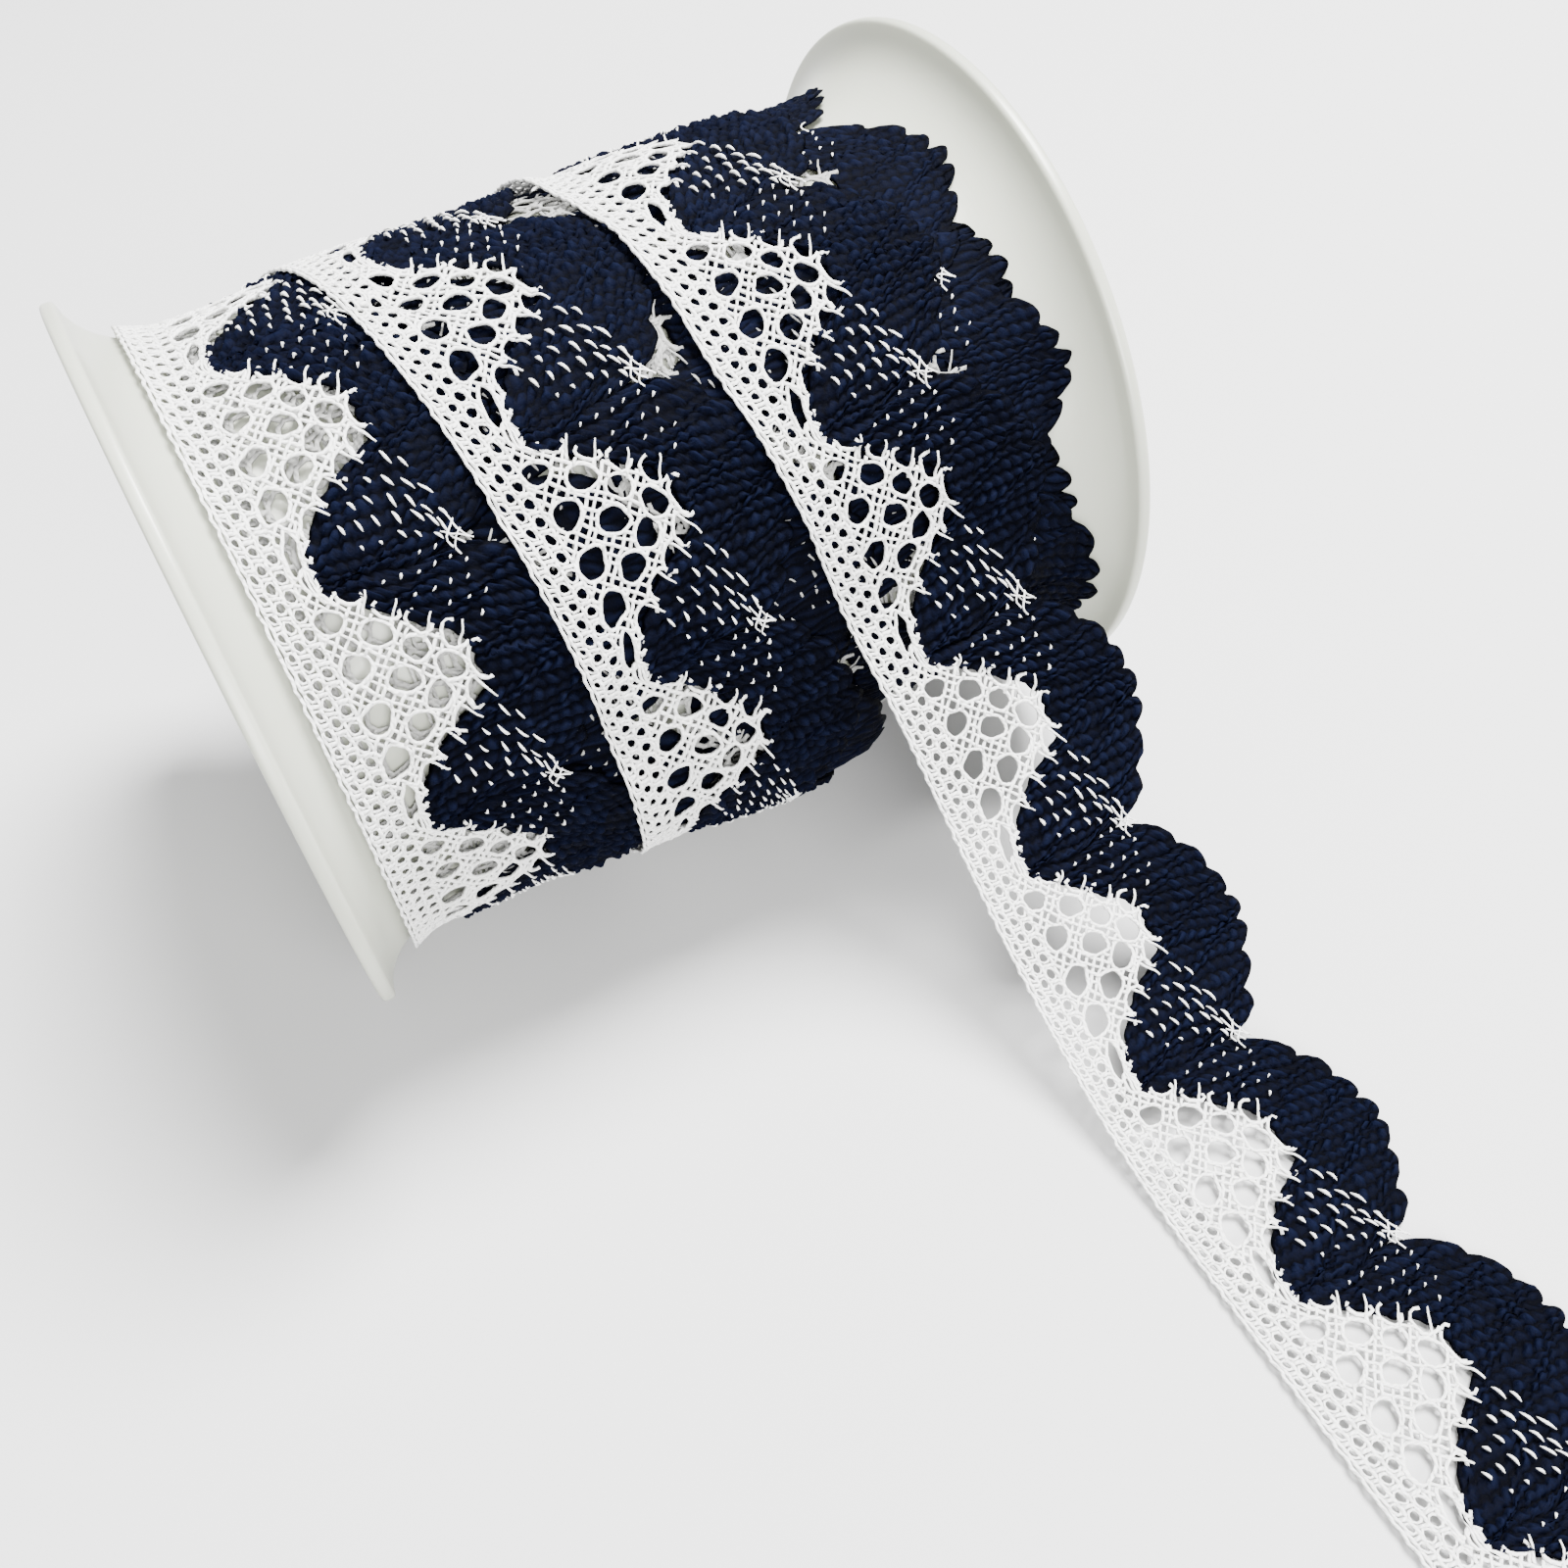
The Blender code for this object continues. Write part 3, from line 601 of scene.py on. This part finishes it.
def float_repeat(fine=True):
    """One repeat's white floats and dots on the navy work, and the loose threads at its valley."""
    parts = []
    grains = [(along, across, 0.9 * length, (0.955, 0.296), 0.155) for along, across, length in FLOATS]
    grains += [(along, across, 0.45, (0.7, -0.7), 0.135) for along, across in DOTS]
    t = np.linspace(-0.5, 0.5, 5 if fine else 4)[:, None]
    for number, (along, across, length, run, radius) in enumerate(grains):
        scatter = [scattered(number, salt) - 0.5 for salt in (3.0, 7.0, 11.0, 17.0, 23.0)]
        middle = np.array([along + 0.3 * scatter[0], across + 0.25 * scatter[1]])
        lean = math.atan2(run[1], run[0]) + 0.3 * scatter[3]
        flat = middle + np.array([math.cos(lean), math.sin(lean)]) * t * length * (1.0 + 0.4 * scatter[2])
        height = CLOTH_TOP + (-0.16 + 0.26 * np.cos(math.pi * t)) * MM
        taper = 0.3 + 0.7 * np.abs(np.cos(math.pi * t[:, 0])) ** 0.6
        swell = radius * (1.0 + 0.4 * scatter[4]) * MM * taper
        parts.append(tube(np.concatenate([flat * MM, height], 1), swell))
    if fine:
        for line in VALLEY_THREADS:
            parts.append(tube(evenly(np.array(line) * MM, 0.35 * MM), 0.095 * MM))
    return Flat.joined(parts)


def cloth_strip(first, last, samples=4, columns=46, under_columns=3):
    """The navy work from valley first to valley last, a closed quilt of yarn rows.

    The grid's two parameters are r, counted in rows along the lace, and t, from 0 at the inner edge to
    1 at the scallops. A point lies at inner(r) + (outer(r) - inner(r)) t, along and across. Its height
    is middle + (base - middle + relief * half_round(r) * lump(t, r)) * rounding(t) * groove, where
    half_round is a yarn's upper side, lump swells each stitch by its own amount, rounding brings both
    edges down and groove parts the bumps. The ends of a row run ahead of or behind each other, so that
    rows fan round a scallop. The underside is flat.
    """
    count = (last - first) * YARN_ROWS * samples + 1
    row = np.linspace(first * YARN_ROWS, last * YARN_ROWS, count)
    phase = np.mod(row / YARN_ROWS, 1.0)
    at = row / YARN_ROWS * REPEAT + VALLEY
    lobe = np.exp(-((phase - 0.92) / 0.11) ** 2) + np.exp(-((phase + 0.08) / 0.11) ** 2)
    at_inner = at + ROW_LEAD_INNER * lobe * np.sin(math.pi * phase) * 2.0
    at_outer = at + ROW_LEAD_OUTER * np.sin(2 * math.pi * phase) + 0.4 * MM * np.sin(math.pi * phase)
    bump_number = np.floor(phase * BUMPS)
    bump = np.abs(np.sin(math.pi * BUMPS * phase))
    depth = BUMP_DEPTH * (0.75 + 0.5 * scattered(bump_number, np.floor(row / YARN_ROWS)))
    inner_bump = np.abs(np.sin(math.pi * at_inner / (REPEAT / INNER_BUMPS)))
    across_inner = inner_width(at_inner) - 0.3 * MM * inner_bump
    across_outer = scallop_width(at_outer) + 0.25 * MM - depth * (1.0 - bump ** BUMP_ROUNDNESS)

    even = np.linspace(0.0, 1.0, columns)
    t = 0.78 * even + 0.22 * (0.5 - 0.5 * np.cos(math.pi * even))
    across = across_inner[:, None] + (across_outer - across_inner)[:, None] * t
    along = at_inner[:, None] + (at_outer - at_inner)[:, None] * t
    from_inner = across - across_inner[:, None]
    from_outer = across_outer[:, None] - across
    row_number = np.floor(row)[:, None]
    within = np.mod(row, 1.0)[:, None]
    odd = np.mod(row_number, 2)
    slant = (1.0 - 2.0 * odd) * (within - 0.5)
    stitch = from_outer / STITCH + 0.5 * odd + 0.6 * scattered(row_number, 5.0) + 0.3 * slant
    size = 0.25 + 0.95 * scattered(row_number, np.floor(stitch))
    lump = 0.12 + size * np.sin(math.pi * np.mod(stitch, 1.0)) ** 0.8
    half_round = np.sqrt(np.clip(1.0 - (2 * within - 1.0) ** 2, 0.0, 1.0))
    inside = smooth_step(from_inner / (0.8 * MM)) * smooth_step(from_outer / (1.4 * MM))
    drift = 0.3 * np.sin(across / (1.3 * MM) + row[:, None] * 1.3)
    drift = drift + 0.14 * np.sin(2 * math.pi * stitch + 1.2)
    drift = drift + 0.2 * np.sin(across / (3.1 * MM) - row[:, None] * 0.45)
    along = along + drift * MM * inside
    relief = ROW_RELIEF * half_round * lump
    groove = np.exp(-(bump / 0.35) ** 2)[:, None] * (1.0 - smooth_step(from_outer / (2.8 * MM)))
    round_inner = np.sqrt(1.0 - (1.0 - np.clip(from_inner / (0.6 * MM), 0.0, 1.0)) ** 2)
    round_outer = np.sqrt(1.0 - (1.0 - np.clip(from_outer / (1.2 * MM), 0.0, 1.0)) ** 2)
    top = (CLOTH_TOP - ROW_RELIEF - CLOTH_MIDDLE + relief) * round_inner * round_outer
    top = CLOTH_MIDDLE + top * (1.0 - 0.6 * groove)
    upper = np.stack([along, across, top], -1)
    # How proud the yarn stands; the navy finish turns it into painted shading in the hollows and a painted
    # highlight on the tops.
    proud = half_round * lump * round_inner * round_outer * (1.0 - 0.8 * groove)

    share = np.linspace(1.0, 0.0, under_columns + 2)[1:-1]
    picked = np.clip((share * (columns - 1)).round().astype(int), 1, columns - 2)
    low = np.full((count, len(picked)), CLOTH_UNDERSIDE)
    lower = np.stack([along[:, picked], across[:, picked], low], -1)
    rings = np.concatenate([upper, lower], 1)
    around = rings.shape[1]
    quads = ring_quads(count, around, False)[2][:, [0, 3, 2, 1]]
    points = rings.reshape(-1, 3)
    marks = np.concatenate([proud, proud[:, picked]], 1)
    marks = np.stack([marks, np.broadcast_to(row[:, None], marks.shape)], -1).reshape(-1, 2) * MM
    yarn = marks[quads]
    pairs = np.arange(around // 2 - 1)
    cap = np.stack([pairs, pairs + 1, around - 2 - pairs, around - 1 - pairs], -1)
    caps = np.concatenate([cap, cap[:, ::-1] + (count - 1) * around])
    return Flat(points, np.concatenate([quads, caps]), np.concatenate([yarn, marks[caps]]))


def build_mesh(name, points, quads, yarn, material):
    """A smooth-shaded object from arrays of points, quads and each corner's yarn map."""
    mesh = bpy.data.meshes.new(name)
    mesh.vertices.add(len(points))
    mesh.vertices.foreach_set("co", points.astype(np.float32).ravel())
    mesh.loops.add(quads.size)
    mesh.loops.foreach_set("vertex_index", quads.astype(np.int32).ravel())
    mesh.polygons.add(len(quads))
    mesh.polygons.foreach_set("loop_start", np.arange(0, quads.size, 4, dtype=np.int32))
    mesh.update(calc_edges=True)
    layer = mesh.uv_layers.new(name="yarn")
    layer.data.foreach_set("uv", (yarn / MM).astype(np.float32).ravel())
    mesh.shade_smooth()
    mesh.validate()
    mesh.materials.append(material)
    thing = bpy.data.objects.new(name, mesh)
    bpy.context.scene.collection.objects.link(thing)
    return thing


def lay(name, flat, material):
    """A flat part of the lace laid on the roll and the table, riding on the root body."""
    points = uneven(flat.points)
    piece = build_mesh(name, place(*points.T), flat.quads, flat.yarn, material)
    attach(piece, "root")
    return piece


def turned(name, profile, sides, material):
    """A closed outline (x, radius) turned about the reel's axis and flattened where it stands.

    A point at the turn a is (x, axis y - radius sin a, the larger of 0 and axis z + radius cos a).
    """
    turn = np.arange(sides) * 2 * math.pi / sides
    x, radius = np.array(profile).T
    y = AXIS_Y - radius * np.sin(turn)[:, None]
    z = np.maximum(AXIS_Z + radius * np.cos(turn)[:, None], 0.0)
    points = np.stack([np.broadcast_to(x, y.shape), y, z], -1)
    quads = ring_quads(sides, len(profile), True)[2]
    yarn = np.zeros((len(quads), 4, 2))
    return build_mesh(name, points.reshape(-1, 3), quads, yarn, material)


class Number:
    """One number in a shader tree. Arithmetic on it adds Math nodes."""

    def __init__(self, finish, socket):
        self.finish = finish
        self.socket = socket

    def __add__(self, other):
        return self.finish.math("ADD", self, other)

    def __radd__(self, other):
        return self.finish.math("ADD", other, self)

    def __sub__(self, other):
        return self.finish.math("SUBTRACT", self, other)

    def __rsub__(self, other):
        return self.finish.math("SUBTRACT", other, self)

    def __mul__(self, other):
        return self.finish.math("MULTIPLY", self, other)

    def __rmul__(self, other):
        return self.finish.math("MULTIPLY", other, self)


class Finish:
    """A material under construction: its node tree, its shader, and one method that adds any node."""

    def __init__(self, name, **shader_values):
        self.material = bpy.data.materials.new(name)
        self.material.use_nodes = True
        self.tree = self.material.node_tree
        self.shader = self.tree.nodes["Principled BSDF"]
        for socket, value in shader_values.items():
            self.shader.inputs[socket.replace("_", " ")].default_value = value

    def node(self, kind, settings=None, inputs=None):
        """Adds a node: its settings first, then its inputs' values or links."""
        made = self.tree.nodes.new(kind)
        for key, value in (settings or {}).items():
            setattr(made, key, value)
        for key, value in (inputs or {}).items():
            self.put(made.inputs[key], value)
        return made

    def put(self, socket, value):
        """Links a socket to another, or sets its value."""
        if isinstance(value, Number):
            value = value.socket
        if isinstance(value, bpy.types.NodeSocket):
            self.tree.links.new(value, socket)
        else:
            socket.default_value = value

    def math(self, operation, *values):
        made = self.node("ShaderNodeMath", {"operation": operation}, dict(enumerate(values)))
        return Number(self, made.outputs[0])

    def noise(self, vector, scale, detail=2.0):
        made = self.node("ShaderNodeTexNoise", {}, {"Vector": vector, "Scale": scale, "Detail": detail})
        return Number(self, made.outputs["Fac"])

    def mix(self, factor, first, second):
        made = self.node("ShaderNodeMix", {"data_type": "RGBA"}, {"Factor": factor})
        self.put(made.inputs[6], first)
        self.put(made.inputs[7], second)
        return made.outputs[2]

    def where(self):
        return self.node("ShaderNodeTexCoord").outputs["Object"]

    def yarn_map(self):
        """The yarn map's two numbers.

        On a thread they are millimetres along it and thousands of turns round it, on the navy work how
        proud the yarn stands and the number of its row.
        """
        source = self.node("ShaderNodeUVMap", {"uv_map": "yarn"}).outputs[0]
        split = self.node("ShaderNodeSeparateXYZ", {}, {0: source})
        return Number(self, split.outputs[0]), Number(self, split.outputs[1])

    def bump(self, height, distance, strength):
        inputs = {"Height": height, "Distance": distance, "Strength": strength}
        made = self.node("ShaderNodeBump", {}, inputs)
        self.put(self.shader.inputs["Normal"], made.outputs[0])

    def done(self, **links):
        """Feeds the shader's own sockets and gives back the material."""
        for socket, value in links.items():
            self.put(self.shader.inputs[socket.replace("_", " ")], value)
        return self.material


def cotton_finish(name, colour):
    """White spun cotton: plies twisted round the thread, with painted shading between them, and darker in
    random patches.
    """
    finish = Finish(name, Sheen_Weight=0.1, Sheen_Roughness=0.5, Specular_IOR_Level=0.2)
    where = finish.where()
    along, around = finish.yarn_map()
    ply = finish.math("SINE", along * 9.0 + around * (MM * 4.0 * math.pi))
    soil = finish.noise(where, 260.0)
    fuzz = finish.noise(where, 9000.0)
    # The darker colour is painted shading in the hollows between the plies, and also the tone of random
    # darker patches (soil).
    painted_shading_and_soil = tuple(part * 0.66 for part in colour[:3]) + (1.0,)
    tone = finish.mix(ply * 0.3 + soil * 0.6 + 0.3, painted_shading_and_soil, colour)
    finish.bump(ply * 0.6 + fuzz * 0.8, 0.00006, 0.6)
    return finish.done(Base_Color=tone, Roughness=0.7 + 0.2 * fuzz)


def navy_finish(colour, light):
    """Navy yarn: painted shading in the hollows, and a painted highlight, bluer, where stitches stand
    proud and fibres catch the light.
    """
    finish = Finish("navy_yarn", Sheen_Weight=0.0, Specular_IOR_Level=0.02)
    where = finish.where()
    proud, _ = finish.yarn_map()
    fibres = finish.noise(where, 2600.0, 3.0)
    patches = finish.noise(where, 190.0)
    # lit runs from painted shading in the hollows to a painted highlight on proud stitches and fibres,
    # with random patches of tone.
    lit = finish.math("MAXIMUM", proud + fibres * 0.6 + patches * 0.3 - 0.55, 0.0)
    tone = finish.mix(lit, colour, light)
    finish.bump(fibres, 0.00014, 0.9)
    return finish.done(Base_Color=tone, Roughness=0.6 + 0.25 * fibres)


def plastic_finish(colour):
    """Milky moulded plastic: faint cloudiness, hair scratches and a soft gloss."""
    finish = Finish("milky_plastic", Subsurface_Weight=0.15, Subsurface_Radius=(0.004, 0.004, 0.0035),
                    Subsurface_Scale=1.0, Specular_IOR_Level=0.45, Coat_Roughness=0.2)
    where = finish.where()
    cloud = finish.noise(where, 45.0, 3.0)
    turned_marks = finish.node("ShaderNodeMapping", {}, {"Vector": where, "Scale": (4000.0, 60.0, 60.0)})
    marks = finish.noise(turned_marks.outputs[0], 1.0, 2.0)
    tone = finish.mix(cloud, tuple(part * 0.955 for part in colour[:3]) + (1.0,), colour)
    finish.bump(marks * 0.6 + cloud * 0.6, 0.00004, 0.35)
    return finish.done(Base_Color=tone, Roughness=0.24 + 0.14 * cloud)


def reel_outline():
    """The reel's section: a thin tube flaring to both rims, from (x, radius) points on its arcs."""
    reach = REEL_HALF - RIM_THICKNESS - FLARE_START
    slopes = np.linspace(0.0, math.pi / 2, 16)
    flare_x = FLARE_START + reach * np.sin(slopes)
    outer = np.stack([flare_x, flare_radius(flare_x)], -1)[:-1]
    lip = 0.45 * MM
    corner = np.linspace(0.0, math.pi / 2, 4)
    near = np.stack([REEL_HALF - RIM_THICKNESS + lip * (1 - np.cos(corner)),
                     RIM_RADIUS - lip * (1 - np.sin(corner))], -1)
    far = np.stack([REEL_HALF - lip * (1 - np.sin(corner)), RIM_RADIUS - lip * (1 - np.cos(corner))], -1)
    back = slopes[::-1]
    inner_x = FLARE_START + (reach + WALL * 0.6) * np.sin(back)
    outer_radius = RIM_RADIUS - (RIM_RADIUS - BARREL_RADIUS) * np.cos(back)
    inner_radius = outer_radius - WALL * (1.0 + 0.35 * np.sin(back))
    inner = np.stack([inner_x, inner_radius], -1)[1:]
    face = np.array([(REEL_HALF, RIM_RADIUS - RIM_THICKNESS - 0.3 * MM)])
    middle = np.array([(0.0, BARREL_RADIUS)])
    middle_inside = np.array([(0.0, BARREL_RADIUS - WALL)])
    right = np.concatenate([middle, outer, near, far, face, inner, middle_inside])
    left = right[::-1][1:-1] * (-1.0, 1.0)
    return np.concatenate([right, left])


def colour_setting(name, description, default):
    """A colour that the user may change."""
    return bpy.props.FloatVectorProperty(
        name=name, description=description, subtype="COLOR", size=4, min=0.0, max=1.0,
        default=(*default, 1.0))


class LaceTrimSettings(bpy.types.PropertyGroup):
    cotton: colour_setting("Cotton", "Colour of the white net", (0.76, 0.76, 0.745))
    # The cotton below is the same white cotton made darker: painted shading for the net and floats that
    # lie in shadow under the top turns.
    cotton_below_painted_shading: colour_setting(
        "Cotton below", "Colour of the net in the layers below", (0.27, 0.27, 0.26))
    # The two navy colours are the yarn's painted shading in its hollows and its painted highlight where
    # stitches stand proud.
    navy: colour_setting("Navy", "Colour of the navy yarn in its hollows", (0.0002, 0.0003, 0.0012))
    navy_light: colour_setting(
        "Navy lights", "Colour of the navy yarn where it catches the light", (0.0016, 0.0025, 0.0088))
    plastic: colour_setting("Plastic", "Colour of the reel", (0.36, 0.372, 0.315))
    table: colour_setting("Table", "Colour of the pale table", (0.46, 0.46, 0.46))
    reel_sides: bpy.props.IntProperty(
        name="Reel sides", description="Flat sides that make up the reel's round", default=176, min=48)
    lens: bpy.props.FloatProperty(
        name="Lens", description="Focal length of the camera, in millimetres on a 36 mm sensor",
        default=36.0, min=10.0)


class LACE_OT_reel(bpy.types.Operator):
    """Turn the milky plastic reel"""
    bl_idname = "lace.reel"
    bl_label = "Reel"

    def execute(self, context):
        settings = context.scene.lace_trim
        material = plastic_finish(tuple(settings.plastic))
        reel = turned("reel", reel_outline(), settings.reel_sides, material)
        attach(reel, "root")
        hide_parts("spool")
        return {"FINISHED"}


def finish_called(name, make):
    """The material of that name, made once."""
    return bpy.data.materials.get(name) or make()


def lace_finishes(settings):
    """The white cotton, a darker copy of it with painted shading for the layers below, and the navy yarn.
    """
    white, painted_shading_grey = tuple(settings.cotton), tuple(settings.cotton_below_painted_shading)
    dark, light = tuple(settings.navy), tuple(settings.navy_light)
    cotton = finish_called("white_cotton", lambda: cotton_finish("white_cotton", white))
    # The cotton below is painted shading: the same cotton, darkened for lying in shadow.
    below = finish_called("cotton_below_painted_shading", lambda: cotton_finish("cotton_below_painted_shading", painted_shading_grey))
    return cotton, below, finish_called("navy_yarn", lambda: navy_finish(dark, light))


def repeat_at(angle):
    """The number of the valley nearest to an angle of the winding."""
    return int(round((float(length_at(np.array([angle]))[0]) - VALLEY) / REPEAT))


class LACE_OT_under(bpy.types.Operator):
    """Wind the layers of lace below the three turns that show"""
    bl_idname = "lace.under"
    bl_label = "Layers below"

    def execute(self, context):
        cotton, below, navy = lace_finishes(context.scene.lace_trim)
        deep_from, deep_to = repeat_at(STARTS_AT) + 1, repeat_at(DEEP_ENDS_AT)
        first, last = repeat_at(EDGE_STARTS_AT) + 1, repeat_at(TOP_STARTS_AT)
        rim_from, rim_to = repeat_at(RIM_SHOWS_FROM), repeat_at(RIM_SHOWS_TO)
        coarse_net = net_repeat(fine=False).repeated(rim_from, repeat_at(NET_SHOWS_FROM))
        # The net below takes the darker cotton, painted shading for its shadow.
        lay("net_below", coarse_net, below)
        lay("cloth_below_deep", cloth_strip(deep_from, deep_to, 3, 15, 2), navy)
        lay("cloth_below_start", cloth_strip(first, rim_from, 3, 15, 2), navy)
        lay("cloth_below_edge", cloth_strip(rim_from, rim_to), navy)
        lay("cloth_below", cloth_strip(rim_to, last, 3, 15, 2), navy)
        lay("floats_below_edge", float_repeat().repeated(rim_from + 1, rim_to), cotton)
        # These floats take the darker cotton too, painted shading.
        lay("floats_below", float_repeat(fine=False).repeated(rim_to, last), below)
        return {"FINISHED"}


class LACE_OT_top(bpy.types.Operator):
    """Wind the three turns of lace that show on the roll"""
    bl_idname = "lace.top"
    bl_label = "Top turns"

    def execute(self, context):
        cotton, _, navy = lace_finishes(context.scene.lace_trim)
        first, middle, last = repeat_at(TOP_STARTS_AT), repeat_at(SECOND_TURN), LOOSE_FROM
        cloth = lay("wound_cloth", cloth_strip(first, last), navy)
        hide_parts("lace_roll")
        lay("wound_floats", float_repeat().repeated(first, last), cotton)
        fine_net, shown = net_repeat(), repeat_at(NET_SHOWS_FROM)
        lay("wound_net_first", fine_net.repeated(shown, middle), cotton)
        lay("wound_net_last", fine_net.repeated(middle, last), cotton)
        return {"FINISHED"}


class LACE_OT_loose(bpy.types.Operator):
    """Lay the loose end from the roll to the table"""
    bl_idname = "lace.loose"
    bl_label = "Loose end"

    def execute(self, context):
        cotton, _, navy = lace_finishes(context.scene.lace_trim)
        first, last = LOOSE_FROM, int(round((LACE_END - VALLEY) / REPEAT))
        cloth = lay("loose_cloth", cloth_strip(first, last, under_columns=14), navy)
        net = lay("loose_net", net_repeat().repeated(first, last), cotton)
        floats = lay("loose_floats", float_repeat().repeated(first, last), cotton)
        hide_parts("loose_end")
        length = (last - first) * REPEAT
        phases = np.linspace(0.0, REPEAT, 200)
        worked = float(np.mean(scallop_width(phases) - inner_width(phases)))
        return {"FINISHED"}


def area_light(name, location, target, size, power):
    """A round white light that faces its target."""
    light = bpy.data.lights.new(name, "AREA")
    light.shape = "DISK"
    light.size = size
    light.energy = power
    lamp = bpy.data.objects.new(name, light)
    bpy.context.scene.collection.objects.link(lamp)
    lamp.location = location
    aim = np.array(target) - np.array(location)
    back = -aim / np.linalg.norm(aim)
    azimuth = math.atan2(back[0], -back[1])
    elevation = math.asin(back[2])
    lamp.rotation_euler = (math.pi / 2 - elevation, 0.0, azimuth)


class LACE_OT_stage(bpy.types.Operator):
    """Set the pale table, the soft lights and the camera"""
    bl_idname = "lace.stage"
    bl_label = "Stage"

    def execute(self, context):
        settings = context.scene.lace_trim
        finish = Finish("pale_table", Roughness=0.9, Specular_IOR_Level=0.1)
        clouds = finish.noise(finish.where(), 3.0)
        tone = finish.mix(clouds, tuple(settings.table), TABLE_CLOUDS)
        quarters = np.array([(-1.0, -1.0, 0.0), (1.0, -1.0, 0.0), (1.0, 1.0, 0.0), (-1.0, 1.0, 0.0)])
        corners = quarters * TABLE_REACH - (0.0, 0.0, TABLE_DROP)
        square = np.array([[0, 1, 2, 3]])
        material = finish.done(Base_Color=tone)
        build_mesh("table", corners, square, np.zeros((1, 4, 2)), material)

        world = bpy.data.worlds.new("studio")
        context.scene.world = world
        world.use_nodes = True
        background = world.node_tree.nodes["Background"]
        background.inputs[0].default_value = (1.0, 1.0, 1.0, 1.0)
        background.inputs[1].default_value = 1.0
        area_light("key", KEY_AT, LIGHTS_AIM, KEY_SIZE, KEY_POWER)
        area_light("fill", FILL_AT, LIGHTS_AIM, FILL_SIZE, FILL_POWER)

        camera = bpy.data.cameras.new("camera")
        camera.sensor_width = 36.0
        camera.lens = settings.lens
        camera.clip_start = 0.01
        eye = bpy.data.objects.new("camera", camera)
        context.scene.collection.objects.link(eye)
        azimuth = Matrix.Rotation(math.radians(CAMERA_AZIMUTH), 4, "Z")
        tip = Matrix.Rotation(math.pi / 2 - math.radians(CAMERA_ELEVATION), 4, "X")
        roll = Matrix.Rotation(math.radians(CAMERA_ROLL), 4, "Z")
        eye.matrix_world = Matrix.Translation(CAMERA_AT) @ azimuth @ tip @ roll
        context.scene.camera = eye
        return {"FINISHED"}


class LACE_PT_panel(bpy.types.Panel):
    """Sizes, colours and pieces of the roll of lace trim"""
    bl_idname = "LACE_PT_panel"
    bl_label = "Lace trim"
    bl_space_type = "VIEW_3D"
    bl_region_type = "UI"
    bl_category = "Lace trim"

    def draw(self, context):
        settings = context.scene.lace_trim
        for name in settings.bl_rna.properties.keys():
            if name not in ("rna_type", "name"):
                self.layout.prop(settings, name)
        for operator in OPERATORS:
            self.layout.operator(operator.bl_idname)


OPERATORS = (LACE_OT_reel, LACE_OT_under, LACE_OT_top, LACE_OT_loose, LACE_OT_stage)
CLASSES = (LaceTrimSettings, *OPERATORS, LACE_PT_panel)


def register():
    for kind in CLASSES:
        bpy.utils.register_class(kind)
    bpy.types.Scene.lace_trim = bpy.props.PointerProperty(type=LaceTrimSettings)


def unregister():
    del bpy.types.Scene.lace_trim
    for kind in reversed(CLASSES):
        bpy.utils.unregister_class(kind)


def main():
    register()
    bpy.ops.lace.reel()
    bpy.ops.lace.under()
    bpy.ops.lace.top()
    bpy.ops.lace.loose()
    bpy.ops.lace.stage()


if __name__ == "__main__":
    main()
